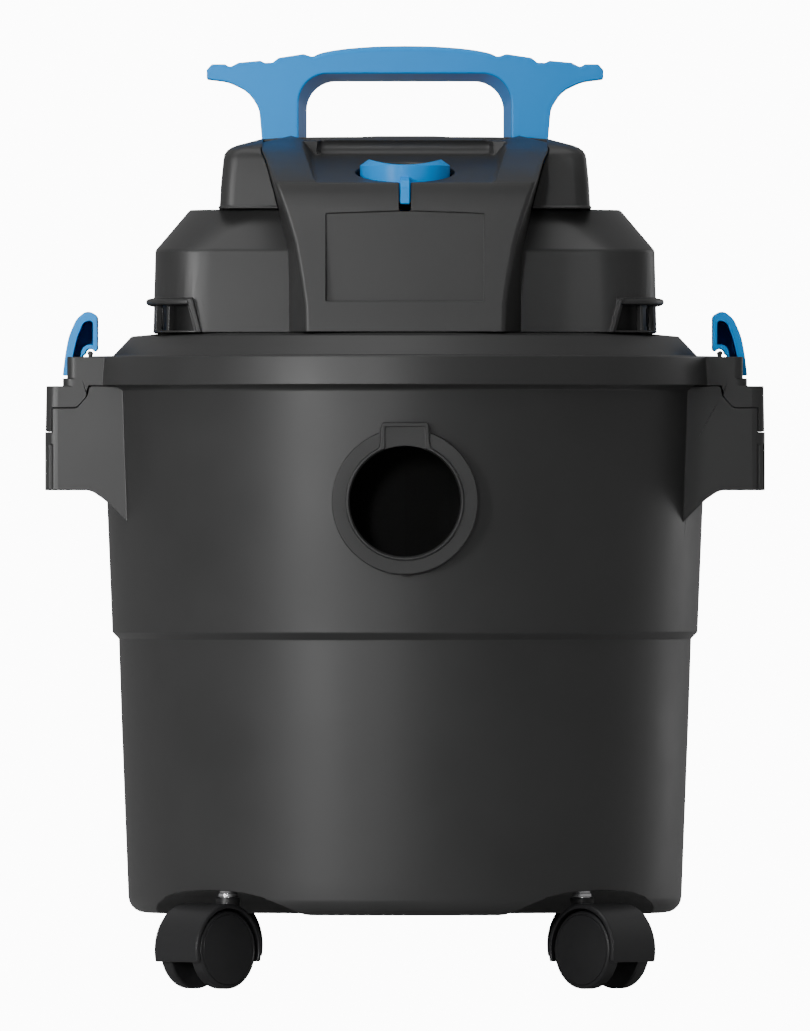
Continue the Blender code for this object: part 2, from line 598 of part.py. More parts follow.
def build_filter(black, rubber, foam):
    """Float cage with its float, and the foam sleeve that slides over it."""
    cage = turned("float_cage", [(50.0, 290.1), (50.0, 175.0), (0.0, 175.0), (0.0, 172.0), (53.0, 172.0),
                                 (53.0, 286.6), (72.0, 286.6), (72.0, 290.1)],
                  segments=INNER_TURN)
    for angle in range(0, 180, 45):
        turn = math.radians(angle + 22.5)
        along = Vector((math.cos(turn), math.sin(turn), 0.0))
        across = Vector((-along.y, along.x, 0.0)) * 13.0
        outline = [along * 60 + across, -along * 60 + across, -along * 60 - across, along * 60 - across]
        combine(cage, prism("window", [(p.x, p.y) for p in outline], "Z", 182.0, 250.0))
    finish(cage, black)

    profile = [(0.0, 175.3), (40.0, 175.3), (44.0, 179.3), (44.0, 210.0), (40.0, 214.0), (0.0, 214.0)]
    finish(turned("float", profile, segments=INNER_TURN, origin=(0.0, 0.0, 175.3)), black)

    ring("filter_media", 62.0, 76.0, 168.3, 255.7, foam)
    ring("filter_top_ring", 53.4, 80.0, 256.0, 264.0, rubber)
    cap = turned("filter_bottom_cap", [(0.0, 160.0), (78.0, 160.0), (80.0, 162.0), (80.0, 172.0),
                                       (77.6, 172.0), (77.6, 168.0), (0.0, 168.0)],
                 segments=INNER_TURN)
    finish(cap, rubber)


def build_screws(steel):
    for name, sign_x, sign_y in corners():
        centre = (sign_x * SCREW_X, sign_y * SCREW_Y)
        screw = turned("housing_screw_" + name, [(0.0, 288.2), (1.4, 288.2), (1.4, 286.8), (4.0, 286.8),
                                                 (4.0, 290.1), (1.8, 290.1), (1.8, 312.0),
                                                 (0.0, 312.0)], centre, 12)
        finish(screw, steel)


def build_all():
    for item in list(bpy.data.objects):
        bpy.data.objects.remove(item)
    plastic = make_material("dark grey plastic", (0.075, 0.077, 0.08), 0.55)
    blue = make_material("blue plastic", (0.012, 0.34, 0.85), 0.32)
    black = make_material("black plastic", (0.02, 0.02, 0.021), 0.45)
    rubber = make_material("black rubber", (0.018, 0.018, 0.018), 0.85)
    steel = make_material("steel", (0.6, 0.6, 0.61), 0.3, 1.0)
    alloy = make_material("cast aluminium", (0.68, 0.69, 0.7), 0.42, 1.0)
    foam = make_material("filter foam", (0.02, 0.02, 0.021), 0.95)

    build_tank(plastic)
    build_inlet(plastic)
    build_lid(plastic)
    ring("lid_seal", 134.0, 140.4, TANK_RIM + GAP, 280.6 - GAP, rubber, TURN)
    build_housing(plastic)
    build_top_cover(plastic)
    build_fascia(plastic)
    build_rear_fascia(plastic)
    build_gland(rubber)
    build_handle(blue)
    build_button(blue)
    build_spring(steel)
    finish(box("switch_body", (-13.0, BUTTON_Y - 9.0, 322.0), (13.0, BUTTON_Y + 5.0, 344.0)), black)
    build_blower((alloy, steel, black))
    ring("motor_base_plate", 6.0, 64.0, 318.3, 321.3, alloy)
    ring("lower_gasket", 44.0, 60.0, HOUSING_BASE, 295.2, rubber)
    ring("upper_gasket", 42.3, 46.0, 345.0, 352.0, rubber)
    build_filter(black, rubber, foam)
    build_screws(steel)
    for side in (-1, 1):
        build_grille(side, black)
        build_latch(side, blue)
        build_side_grip(side, plastic)
    for name, sign_x, sign_y in corners():
        build_caster(name, sign_x, sign_y, black, steel)


build_all()
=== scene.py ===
"""Looks of the shop vacuum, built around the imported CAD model.

Sizes are in millimetres and become metres when a mesh is made. Left is -X, front is -Y.
"""
import json
import math

import bmesh
import bpy
import numpy as np
from mathutils import Matrix, Vector


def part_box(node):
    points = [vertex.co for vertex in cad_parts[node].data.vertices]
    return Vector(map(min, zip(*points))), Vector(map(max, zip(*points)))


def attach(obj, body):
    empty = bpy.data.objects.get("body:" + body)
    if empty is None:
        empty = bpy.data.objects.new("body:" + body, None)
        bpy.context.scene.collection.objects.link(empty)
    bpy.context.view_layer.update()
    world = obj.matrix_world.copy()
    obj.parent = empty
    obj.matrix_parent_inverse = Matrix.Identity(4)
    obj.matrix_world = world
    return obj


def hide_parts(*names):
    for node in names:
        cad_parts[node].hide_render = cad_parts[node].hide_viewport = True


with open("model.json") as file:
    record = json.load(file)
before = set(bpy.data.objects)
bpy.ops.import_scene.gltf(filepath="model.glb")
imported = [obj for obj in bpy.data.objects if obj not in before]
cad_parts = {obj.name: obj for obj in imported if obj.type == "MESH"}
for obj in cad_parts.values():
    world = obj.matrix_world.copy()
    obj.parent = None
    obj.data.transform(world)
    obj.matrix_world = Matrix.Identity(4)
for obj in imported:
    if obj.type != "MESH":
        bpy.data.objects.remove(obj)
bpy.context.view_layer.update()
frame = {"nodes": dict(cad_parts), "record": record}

MM = 0.001
FINE = 144             # facets of the tank and the lid
DISC = 96              # facets of wheels, wells and the inlet
ROUND = 48             # facets of small round pieces
WALL = 2.5
GAP = 0.3
SHARP = math.radians(28.0)
FLAT_FROM = 24         # faces with more corners than this are flat caps
SLIVER = 0.03          # longest edge that counts as a Boolean's leftover


def node_mm(name):
    """Lowest and highest corner of a CAD node, in millimetres."""
    low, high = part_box(name)
    return [value / MM for value in low], [value / MM for value in high]


TANK_LOW, TANK_HIGH = node_mm("tank")
LID_HIGH = node_mm("lid")[1]
HOUSING_LOW, HOUSING_HIGH = node_mm("motor_housing")
COVER_LOW, COVER_HIGH = node_mm("top_cover")
BUTTON_LOW, BUTTON_HIGH = node_mm("power_button")
HANDLE_LOW, HANDLE_HIGH = node_mm("handle")

TANK_BOTTOM, TANK_RIM = TANK_LOW[2], TANK_HIGH[2]
LID_RADIUS, LID_TOP = LID_HIGH[1], LID_HIGH[2]
LID_EDGE = 270.0       # underside of the lid's band
LID_LEDGE = 283.3      # ledge that the lid's beads stand on
LID_EYE = 42.0         # radius of the lid's round opening
HOUSING_BASE, HOUSING_TOP = HOUSING_LOW[2], HOUSING_HIGH[2]
COVER_BASE, COVER_TOP = COVER_LOW[2], COVER_HIGH[2]
INLET_Z = 218.0
INLET_FACE = node_mm("inlet_collar")[0][1]
INLET_BACK = -116.0    # Y inside the tank's wall
INLET_BORE = 24.7
GRIP_HALF = 48.6       # half length of a side grip, along Y
NOTCH_HALF = 25.6      # half length of the latch's notch
LATCH_HALF = 25.0
NOTCH_FLOOR = 250.4
HINGE_X, HINGE_Z = 141.6, 284.6
STEM_XY = 79.3         # X and Y of each caster's stem
TRAIL = 12.5           # from the stem to the axle
AXLE_Z = 17.5
WHEEL_RADIUS = 17.5
BUTTON_Y = -78.0
BUTTON_RADIUS = BUTTON_HIGH[0]
BUTTON_FOOT = 352.0    # underside of the button's round part
SCREW_X, SCREW_Y = 80.0, 46.0
SIDES = ((-1, "left"), (1, "right"))
CORNERS = (("front_left", -1, -1), ("front_right", 1, -1),
           ("rear_left", -1, 1), ("rear_right", 1, 1))


# -------- materials

def node(tree, kind, **inputs):
    """Adds a shader node; an input's name is given with underscores for spaces."""
    made = tree.nodes.new(kind)
    for name, value in inputs.items():
        made.inputs[name.replace("_", " ")].default_value = value
    return made


def spread(tree, source, low, high):
    """Maps a 0.3 to 0.7 noise onto low to high."""
    ramp = node(tree, "ShaderNodeMapRange")
    ramp.inputs["From Min"].default_value = 0.3
    ramp.inputs["From Max"].default_value = 0.7
    ramp.inputs["To Min"].default_value = low
    ramp.inputs["To Max"].default_value = high
    tree.links.new(source, ramp.inputs["Value"])
    return ramp.outputs["Result"]


def moulded(name, colour, roughness, grain, depth, cloud=0.08, metallic=0.0, specular=0.5):
    """Moulded or cast surface: fine grain as bump, faint clouds in colour and roughness.

    Grain is its size and depth its height, both in millimetres.
    """
    material = bpy.data.materials.new(name)
    material.use_nodes = True
    tree = material.node_tree
    shader = tree.nodes["Principled BSDF"]
    shader.inputs["Metallic"].default_value = metallic
    shader.inputs["Specular IOR Level"].default_value = specular
    place = node(tree, "ShaderNodeTexCoord").outputs["Object"]

    fine = node(tree, "ShaderNodeTexNoise", Scale=1000.0 / grain, Detail=3.0, Roughness=0.55)
    tree.links.new(place, fine.inputs["Vector"])
    bump = node(tree, "ShaderNodeBump", Strength=1.0, Distance=depth * MM)
    tree.links.new(fine.outputs["Fac"], bump.inputs["Height"])
    tree.links.new(bump.outputs["Normal"], shader.inputs["Normal"])

    broad = node(tree, "ShaderNodeTexNoise", Scale=22.0, Detail=4.0, Roughness=0.5)
    tree.links.new(place, broad.inputs["Vector"])
    worn = spread(tree, broad.outputs["Fac"], roughness - 0.04, roughness + 0.04)
    tree.links.new(worn, shader.inputs["Roughness"])
    mix = node(tree, "ShaderNodeMix")
    mix.data_type = "RGBA"
    dark = [channel * (1.0 - cloud) for channel in colour]
    light = [min(1.0, channel * (1.0 + cloud)) for channel in colour]
    mix.inputs["A"].default_value = (*dark, 1.0)
    mix.inputs["B"].default_value = (*light, 1.0)
    tree.links.new(spread(tree, broad.outputs["Fac"], 0.0, 1.0), mix.inputs["Factor"])
    tree.links.new(mix.outputs["Result"], shader.inputs["Base Color"])
    return material


def turned_steel(name):
    """Bright steel with fine turning marks round the vertical axis."""
    material = moulded(name, (0.66, 0.66, 0.67), 0.2, 0.8, 0.004, cloud=0.05, metallic=1.0)
    tree = material.node_tree
    bump = next(item for item in tree.nodes if item.type == "BUMP")
    wave = node(tree, "ShaderNodeTexWave", Scale=2600.0, Distortion=1.5, Detail=2.0)
    wave.bands_direction = "Z"
    place = next(item for item in tree.nodes if item.type == "TEX_COORD")
    tree.links.new(place.outputs["Object"], wave.inputs["Vector"])
    tree.links.new(wave.outputs["Fac"], bump.inputs["Height"])
    return material


DARK = moulded("dark_plastic", (0.031, 0.031, 0.031), 0.44, 0.45, 0.012)
# Painted shade: black plastic made nearly colourless and less shiny, so that the vent screen stays as
# dark as the shade inside the air openings.
SHADE_BLACK = moulded("black_plastic", (0.006, 0.006, 0.006), 0.5, 0.6, 0.012, specular=0.3)
# Painted shade: the inlet collar's plastic is darker than the tank's so that its flange reads as
# self-shadowed.
SHADED_COLLAR = moulded("collar_painted_shade", (0.016, 0.016, 0.016), 0.44, 0.45, 0.012)
CASTER = moulded("caster_plastic", (0.016, 0.016, 0.017), 0.38, 0.7, 0.01)
BLUE = moulded("blue_plastic", (0.0, 0.34, 0.95), 0.36, 0.8, 0.008, cloud=0.03, specular=0.25)
RUBBER = moulded("black_rubber", (0.014, 0.014, 0.014), 0.8, 0.35, 0.02)
STEEL = turned_steel("steel")
ALLOY = moulded("cast_aluminium", (0.62, 0.63, 0.65), 0.42, 0.7, 0.03, cloud=0.06, metallic=1.0)
IRON = moulded("motor_iron", (0.17, 0.17, 0.18), 0.5, 0.7, 0.02, cloud=0.1, metallic=0.6)
FOAM = moulded("filter_foam", (0.012, 0.012, 0.012), 0.9, 1.1, 0.25, cloud=0.12)
MATERIALS = {"dark_plastic": DARK, "black_plastic": SHADE_BLACK, "caster_plastic": CASTER,
             "blue_plastic": BLUE, "black_rubber": RUBBER, "steel": STEEL,
             "cast_aluminium": ALLOY, "motor_iron": IRON, "filter_foam": FOAM}


# -------- mesh tools

def solid(points, faces):
    """A closed mesh object from points in millimetres."""
    mesh = bpy.data.meshes.new("shape")
    mesh.from_pydata([Vector(p) * MM for p in points], [], faces)
    shape = bmesh.new()
    shape.from_mesh(mesh)
    bmesh.ops.remove_doubles(shape, verts=shape.verts, dist=0.002 * MM)
    bmesh.ops.recalc_face_normals(shape, faces=shape.faces)
    shape.to_mesh(mesh)
    shape.free()
    item = bpy.data.objects.new("shape", mesh)
    bpy.context.scene.collection.objects.link(item)
    return item


def lofted(loops):
    """Skins loops of equal length and caps both ends."""
    size = len(loops[0])
    points = [point for loop in loops for point in loop]
    last = (len(loops) - 1) * size
    faces = [list(range(size)), list(range(last, last + size))]
    for level in range(len(loops) - 1):
        for step in range(size):
            after = (step + 1) % size
            faces.append([level * size + step, level * size + after,
                          (level + 1) * size + after, (level + 1) * size + step])
    return solid(points, faces)


def flat(point, depth, axis):
    """A point of an outline, put at a depth along the axis given."""
    if axis == "X":
        return (depth, point[0], point[1])
    if axis == "Y":
        return (point[0], depth, point[1])
    return (point[0], point[1], depth)


def prism(outline, axis, low, high):
    """Extrudes an outline in (Y, Z), (X, Z) or (X, Y) along X, Y or Z."""
    return lofted([[flat(p, depth, axis) for p in outline] for depth in (low, high)])


def inwards(outline, widths):
    """Moves each outline point into the shape by its own width."""
    area = sum(a[0] * b[1] - b[0] * a[1] for a, b in zip(outline, outline[1:] + outline[:1]))
    turn = 1.0 if area > 0.0 else -1.0
    moved = []
    for index, point in enumerate(outline):
        here = Vector(point)
        before = Vector(outline[index - 1])
        after = Vector(outline[(index + 1) % len(outline)])
        first = (here - before).normalized()
        second = (after - here).normalized()
        normal = Vector((-(first.y + second.y), first.x + second.x)) * turn
        normal.normalize()
        half = max(0.35, math.sqrt(max(0.0, (1.0 + first.dot(second)) / 2.0)))
        shift = widths[index] / half
        moved.append(tuple(here + normal * shift))
    return moved


def slab(outline, axis, low, high, edge, steps=3):
    """A prism whose two end faces have rounded edges; edge is one width or one for each point."""
    widths = edge if isinstance(edge, list) else [edge] * len(outline)
    rows = [(step, low, 1.0) for step in range(steps + 1)]
    rows += [(step, high, -1.0) for step in range(steps, -1, -1)]
    loops = []
    for step, end, inward in rows:
        angle = 0.5 * math.pi * step / steps
        inset = inwards(outline, [w * (1.0 - math.sin(angle)) for w in widths])
        loops.append([flat(p, end + inward * (w * (1.0 - math.cos(angle))), axis)
                      for p, w in zip(inset, widths)])
    return lofted(loops)


def box(low, high):
    """A block between two corners."""
    outline = [(low[0], low[1]), (high[0], low[1]), (high[0], high[1]), (low[0], high[1])]
    return prism(outline, "Z", low[2], high[2])


def arc(centre, radius, start, end, steps):
    """Points along an arc; its angles are in degrees."""
    points = []
    for step in range(steps + 1):
        angle = math.radians(start + (end - start) * step / steps)
        points.append((centre[0] + radius * math.cos(angle), centre[1] + radius * math.sin(angle)))
    return points


def path(corners, closed=False, steps=5):
    """An outline from (a, b) or (a, b, radius) corners, with the radii rounded."""
    points = []
    count = len(corners)
    for index, corner in enumerate(corners):
        here = Vector(corner[:2])
        radius = corner[2] if len(corner) > 2 else 0.0
        if radius == 0.0 or (not closed and index in (0, count - 1)):
            points.append(tuple(here))
            continue
        before = (Vector(corners[index - 1][:2]) - here).normalized()
        after = (Vector(corners[(index + 1) % count][:2]) - here).normalized()
        opening = before.angle(after)
        reach = radius / math.tan(opening / 2.0)
        start, end = here + before * reach, here + after * reach
        centre = here + (before + after).normalized() * radius / math.sin(opening / 2.0)
        first, last = start - centre, end - centre
        heading = math.atan2(first.y, first.x)
        turn = math.remainder(math.atan2(last.y, last.x) - heading, 2.0 * math.pi)
        points += arc(centre, radius, math.degrees(heading), math.degrees(heading + turn), steps)
    return points


def finer(outline, longest):
    """Divides an open outline's long stretches."""
    points = [outline[0]]
    for start, end in zip(outline, outline[1:]):
        pieces = max(1, math.ceil(math.dist(start, end) / longest))
        for step in range(1, pieces + 1):
            part = step / pieces
            points.append(tuple(a + (b - a) * part for a, b in zip(start, end)))
    return points


def curve(points, count):
    """Smooth curve through points of any size (Catmull-Rom)."""
    keys = [np.array(p, dtype=float) for p in points]
    keys = [2 * keys[0] - keys[1]] + keys + [2 * keys[-1] - keys[-2]]
    spans = len(keys) - 3
    made = []
    for step in range(count + 1):
        place = min(spans * step / count, spans - 1e-9)
        index, part = int(place), place - int(place)
        a, b, c, d = keys[index:index + 4]
        made.append(tuple(0.5 * (2 * b + (c - a) * part + (2 * a - 5 * b + 4 * c - d) * part ** 2
                                 + (3 * b - a - 3 * c + d) * part ** 3)))
    return made


def rounded(half_x, half_y, radius, height):
    """A level loop: a rounded rectangle."""
    loop = []
    for sign_x, sign_y, start in ((1, 1, 0), (-1, 1, 90), (-1, -1, 180), (1, -1, 270)):
        centre = (sign_x * (half_x - radius), sign_y * (half_y - radius))
        loop += [(x, y, height) for x, y in arc(centre, radius, start, start + 90, 10)]
    return loop


def turned(profile, segments=FINE, centre=(0.0, 0.0)):
    """Turns a closed profile of (radius, height) about a vertical axis."""
    points, rings = [], []
    for radius, height in profile:
        if radius <= 1e-9:
            rings.append([len(points)] * segments)
            points.append((centre[0], centre[1], height))
            continue
        rings.append(list(range(len(points), len(points) + segments)))
        for step in range(segments):
            angle = 2.0 * math.pi * step / segments
            points.append((centre[0] + radius * math.cos(angle),
                           centre[1] + radius * math.sin(angle), height))
    faces = []
    for index, lower in enumerate(rings):
        upper = rings[(index + 1) % len(rings)]
        for step in range(segments):
            after = (step + 1) % segments
            unique = list(dict.fromkeys([lower[step], lower[after], upper[after], upper[step]]))
            if len(unique) > 2:
                faces.append(unique)
    return solid(points, faces)


def aimed(item, start, along):
    """Puts a shape turned about the Z axis at start, with its axis along the direction given."""
    turn = Vector((0.0, 0.0, 1.0)).rotation_difference(Vector(along)).to_matrix().to_4x4()
    item.data.transform(Matrix.Translation(Vector(start) * MM) @ turn)
    return item


def rod(start, end, radius, segments=ROUND, edge=0.0):
    """A round bar, with rounded rims if edge is given."""
    start, end = Vector(start), Vector(end)
    length = (end - start).length
    profile = path([(0.0, 0.0), (radius, 0.0, edge), (radius, length, edge), (0.0, length)], steps=3)
    return aimed(turned(profile, segments), start, end - start)


def combine(target, tool, operation="DIFFERENCE"):
    """Applies a Boolean to target and removes the tool."""
    modifier = target.modifiers.new("combine", "BOOLEAN")
    modifier.operation = operation
    modifier.object = tool
    graph = bpy.context.evaluated_depsgraph_get()
    mesh = bpy.data.meshes.new_from_object(target.evaluated_get(graph))
    target.modifiers.remove(modifier)
    target.data = mesh
    bpy.data.objects.remove(tool)
    return target


def join(target, tool):
    """Adds the tool to the target."""
    return combine(target, tool, "UNION")


def common(target, tool):
    """Keeps what the target shares with the tool."""
    return combine(target, tool, "INTERSECT")


def together(items):
    """Several shapes that don't touch as one tool."""
    shape = bmesh.new()
    for item in items:
        shape.from_mesh(item.data)
    mesh = bpy.data.meshes.new("tools")
    shape.to_mesh(mesh)
    shape.free()
    for item in items:
        bpy.data.objects.remove(item)
    made = bpy.data.objects.new("tools", mesh)
    bpy.context.scene.collection.objects.link(made)
    return made


def mirror_x(outline, side):
    """An outline drawn for the left side, put on the side asked for."""
    return [(-side * p[0], *p[1:]) for p in outline]


def both_halves(half):
    """An outline or loop drawn from the outside to the middle plane, with its mirror image."""
    return half + [(-p[0], *p[1:]) for p in reversed(half[:-1])]


def across(side, near, far):
    """Low and high X of a span given as distances from the middle."""
    return sorted((side * near, side * far))


def weld(item, distance):
    """Removes the slivers that a Boolean leaves, so that edges can be rounded."""
    shape = bmesh.new()
    shape.from_mesh(item.data)
    bmesh.ops.dissolve_degenerate(shape, dist=distance * MM, edges=shape.edges)
    shape.to_mesh(item.data)
    shape.free()


def piece(item, name, material, body, nodes, bevel=0.0):
    """Names a finished shape, gives it its material and joins it to the frame."""
    item.name = name
    item.data.name = name
    item.data.materials.clear()
    item.data.materials.append(material)
    item.data.polygons.foreach_set("material_index", [0] * len(item.data.polygons))
    if bevel:
        weld(item, SLIVER)
        modifier = item.modifiers.new("edges", "BEVEL")
        modifier.width = bevel * MM
        modifier.segments = 2
        modifier.limit_method = "ANGLE"
        modifier.angle_limit = math.radians(40.0)
        modifier.use_clamp_overlap = False
        modifier.miter_outer = "MITER_ARC"
    item.data.shade_smooth()
    item.data.set_sharp_from_angle(angle=SHARP)
    for face in item.data.polygons:
        face.use_smooth = len(face.vertices) <= FLAT_FROM
    weighted = item.modifiers.new("normals", "WEIGHTED_NORMAL")
    weighted.keep_sharp = True
    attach(item, body)
    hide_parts(*nodes)


# -------- tank

# Closed profiles of (radius, height), and outlines of (X, Z) on the left side; a third number
# rounds that corner.
TANK_OUTSIDE = finer(path([(0.0, TANK_BOTTOM), (124.25, TANK_BOTTOM, 7.5), (127.6, 120.0, 400.0),
                           (128.8, 156.3, 1.0), (131.7, 159.2, 1.4), (134.1, 218.0), (135.7, 268.0, 1.5),
                           (140.5, 271.0, 0.6), (140.5, TANK_RIM, 0.8), (0.0, TANK_RIM)]), 9.0)
TANK_INSIDE = [(0.0, TANK_BOTTOM + WALL), (116.6, TANK_BOTTOM + WALL), (122.0, 42.0), (126.2, 156.2),
               (129.2, 159.6), (131.6, 218.0), (133.2, 268.0), (133.2, 290.0), (0.0, 290.0)]
# Room for a caster under the tank, with the stem's socket above it, and the wall over both.
POCKET = [(0.0, 20.0), (48.0, 20.0), (48.0, 33.0), (46.0, 33.6), (39.0, 37.8), (31.6, 41.0),
          (24.0, 42.8), (16.0, 43.8), (9.0, 44.1), (4.3, 44.1), (4.3, 59.0), (0.0, 59.0)]
POCKET_WALL = [(0.0, 10.0), (50.5, 10.0), (50.5, 35.5), (42.0, 41.5), (32.0, 44.5), (16.0, 46.6),
               (9.0, 46.6), (9.0, 62.0), (0.0, 62.0)]
GRIP_REACH = 161.5
GRIP_OUTLINE = path([(-GRIP_REACH, 223.0, 0.5), (-GRIP_REACH, 249.1, 0.4), (-158.2, 249.1),
                     (-158.2, 259.8, 0.4), (-147.4, 259.8, 3.2), (-142.4, 265.2, 3.0),
                     (-141.6, 269.7, 1.5), (-120.0, 269.7), (-120.0, 204.2), (-124.3, 208.4),
                     (-134.6, 218.6, 14.0), (-141.0, 223.0, 9.0)], closed=True, steps=6)
GRIP_CORNER = 5.8                  # radius of the grip's outer corners in plan
GROOVE_LOW, GROOVE_HIGH = 215.0, 243.6
GROOVE_PITCH = 4.1
SPIGOT_HOLE = 28.3                 # hole in the tank's wall behind the inlet


def grip_plan(reach, corner):
    """Plan of a side block, with its outer corners rounded."""
    return path([(-100.0, -GRIP_HALF), (-reach, -GRIP_HALF, corner), (-reach, GRIP_HALF, corner),
                 (-100.0, GRIP_HALF)], closed=True, steps=6)


def grip_grooves(side):
    """Cutter of the upright grooves on a grip's outer face and round its corners."""
    spots = [(side * 162.0, step * GROOVE_PITCH, 1.25) for step in range(-10, 11)]
    for sign in (-1, 1):
        for angle in (24.0, 58.0):
            turn = math.radians(angle)
            x, y = 155.7 + 6.0 * math.cos(turn), 42.8 + 6.0 * math.sin(turn)
            spots.append((side * x, sign * y, 0.9))
    return together([rod((x, y, GROOVE_LOW), (x, y, GROOVE_HIGH), radius, 10) for x, y, radius in spots])


def grip_shape(side):
    """A side grip: rounded corners in plan, hollow below, ribbed outside, notched for the latch."""
    grip = prism(mirror_x(GRIP_OUTLINE, side), "Y", -GRIP_HALF, GRIP_HALF)
    common(grip, prism(mirror_x(grip_plan(GRIP_REACH, GRIP_CORNER), side), "Z", 190.0, 290.0))
    hollow = path([(-158.5, 200.0), (-158.5, 245.0, 3.0), (-139.0, 245.0, 3.0), (-139.0, 200.0)], steps=4)
    combine(grip, prism(mirror_x(hollow, side), "Y", -GRIP_HALF + 3.0, GRIP_HALF - 3.0))
    low, high = across(side, 144.9, 170.0)
    combine(grip, box((low, -NOTCH_HALF, NOTCH_FLOOR), (high, NOTCH_HALF, 290.0)))
    return combine(grip, grip_grooves(side))


def build_tank():
    """Tank with both grips, the pockets for the casters and the hole behind the inlet."""
    tank = turned(TANK_OUTSIDE)
    for side, _ in SIDES:
        join(tank, grip_shape(side))
    cavity = turned(TANK_INSIDE)
    for _, sign_x, sign_y in CORNERS:
        combine(cavity, turned(POCKET_WALL, ROUND, (sign_x * STEM_XY, sign_y * STEM_XY)))
    combine(tank, cavity)
    for _, sign_x, sign_y in CORNERS:
        combine(tank, turned(POCKET, DISC, (sign_x * STEM_XY, sign_y * STEM_XY)))
    combine(tank, rod((0, -150.0, INLET_Z), (0, -100.0, INLET_Z), SPIGOT_HOLE, 64))
    piece(tank, "tank_shell", DARK, "tank", ["tank", "side_grip_left", "side_grip_right"],
          0.35)


FLANGE_RADIUS = 32.7
LIP_RADIUS = 26.4
LIP_NECK = 11.6        # half width of the keyhole's neck where it leaves the ring


def keyhole_lip():
    """Raised lip round the bore, with the recessed tab above it."""
    neck = math.degrees(math.asin(LIP_NECK / LIP_RADIUS))
    ring = arc((0.0, INLET_Z), LIP_RADIUS, 90.0 + neck, 450.0 - neck, 64)
    outline = ring + path([ring[-1], (11.0, 244.5, 3.0), (10.6, 253.3, 1.6), (-10.6, 253.3, 1.6),
                           (-11.0, 244.5, 3.0), ring[0]])[1:-1]
    lip = slab(outline, "Y", INLET_FACE, INLET_FACE + 6.0, 0.45)
    recess = path([(9.0, INLET_Z + 18.0), (9.0, 251.3, 0.8), (-9.0, 251.3, 0.8), (-9.0, INLET_Z + 18.0)],
                  closed=True)
    return combine(lip, prism(recess, "Y", INLET_FACE - 5.0, INLET_FACE + 3.4))


def build_inlet():
    """Flange, raised keyhole lip and spigot of the hose inlet."""
    collar = rod((0, INLET_FACE + 1.5, INLET_Z), (0, INLET_BACK, INLET_Z), FLANGE_RADIUS, DISC, 0.6)
    tab = path([(-10.6, INLET_Z + 20.0), (10.6, INLET_Z + 20.0), (11.3, 250.5), (9.6, 252.9, 1.2),
                (-9.6, 252.9, 1.2), (-11.3, 250.5)], closed=True)
    join(collar, slab(tab, "Y", INLET_FACE + 1.4, INLET_BACK, 0.3))
    join(collar, keyhole_lip())
    foot = [(-1.7, 184.7), (1.7, 184.7), (1.7, 187.6), (-1.7, 187.6)]
    join(collar, slab(foot, "Y", INLET_FACE + 2.1, INLET_FACE + 5.0, 0.4))
    wall = [(radius + GAP, height) for radius, height in TANK_OUTSIDE
            if 60.0 < height < 268.5 and radius > 100.0]
    combine(collar, turned([(0.0, wall[0][1])] + wall + [(0.0, wall[-1][1])]))
    join(collar, rod((0, INLET_FACE + 3.0, INLET_Z), (0, INLET_BACK, INLET_Z), SPIGOT_HOLE - GAP, DISC))
    bore = path([(0.0, -160.0), (25.2, -160.0), (25.2, INLET_FACE + 0.3), (INLET_BORE, INLET_FACE + 0.9),
                 (INLET_BORE, -100.0), (0.0, -100.0)])
    start_y = -200.0
    tool = turned([(radius, y - start_y) for radius, y in bore], DISC)
    combine(collar, aimed(tool, (0, start_y, INLET_Z), (0, 1, 0)))
    piece(collar, "inlet_body", SHADED_COLLAR, "tank", ["inlet_collar"], 0.2)


# -------- lid

LID_OUTSIDE = finer(path([(LID_EYE, LID_EDGE), (LID_EYE, LID_TOP), (111.0, LID_TOP, 40.0),
                          (123.1, 292.3, 1.5), (131.6, LID_LEDGE + 0.1, 0.8), (143.1, LID_LEDGE, 1.0),
                          (LID_RADIUS, LID_EDGE, 0.5), (140.0, LID_EDGE)]), 9.0)
LID_INSIDE = [(0.0, 190.0), (141.1, 190.0), (141.1, 280.6), (130.8, 280.6), (121.8, 289.8),
              (110.0, 290.4), (0.0, 290.4)]


def lid_block(side):
    """Side block of the lid: a step over the grip and a skirt outside it."""
    upper = path([(-130.0, 282.9), (-151.6, 282.9, 0.5), (-151.6, 269.8), (-146.0, 262.5, 1.5),
                  (-143.2, 265.6, 3.0), (-141.8, 270.0), (-130.0, 270.0)], closed=True)
    lower = path([(-144.0, 269.8), (-160.9, 269.8, 0.5), (-161.3, 249.4, 0.4), (-158.5, 249.4),
                  (-158.5, 260.1), (-147.2, 260.1, 3.2), (-142.2, 265.6, 3.0)], closed=True)
    step = path([(-145.0, 273.2), (-153.5, 273.2, 0.4), (-153.5, 265.0), (-145.0, 265.0)], closed=True)
    parts = []
    for outline, reach, corner in ((upper, 151.6, 4.0), (lower, 161.4, GRIP_CORNER), (step, 153.5, 4.5)):
        part = prism(mirror_x(outline, side), "Y", -GRIP_HALF, GRIP_HALF)
        common(part, prism(mirror_x(grip_plan(reach, corner), side), "Z", 240.0, 290.0))
        parts.append(part)
    block = parts[0]
    for part in parts[1:]:
        join(block, part)
    low, high = across(side, 144.3, 170.0)
    combine(block, box((low, -NOTCH_HALF, 240.0), (high, NOTCH_HALF, 300.0)))
    return block


def hinge_bead(side):
    """Bead that a latch turns on, on a thin foot."""
    bead = rod((side * HINGE_X, -NOTCH_HALF, HINGE_Z), (side * HINGE_X, NOTCH_HALF, HINGE_Z), 1.1, 20)
    low, high = across(side, HINGE_X - 0.6, HINGE_X + 0.6)
    return join(bead, box((low, -NOTCH_HALF, LID_LEDGE - 1.5), (high, NOTCH_HALF, HINGE_Z)))


def screw_hole(sign_x, sign_y, low, high, radius):
    """Cutter at one of the housing's four screws."""
    spot = (sign_x * SCREW_X, sign_y * SCREW_Y)
    return rod((*spot, low), (*spot, high), radius, 24)


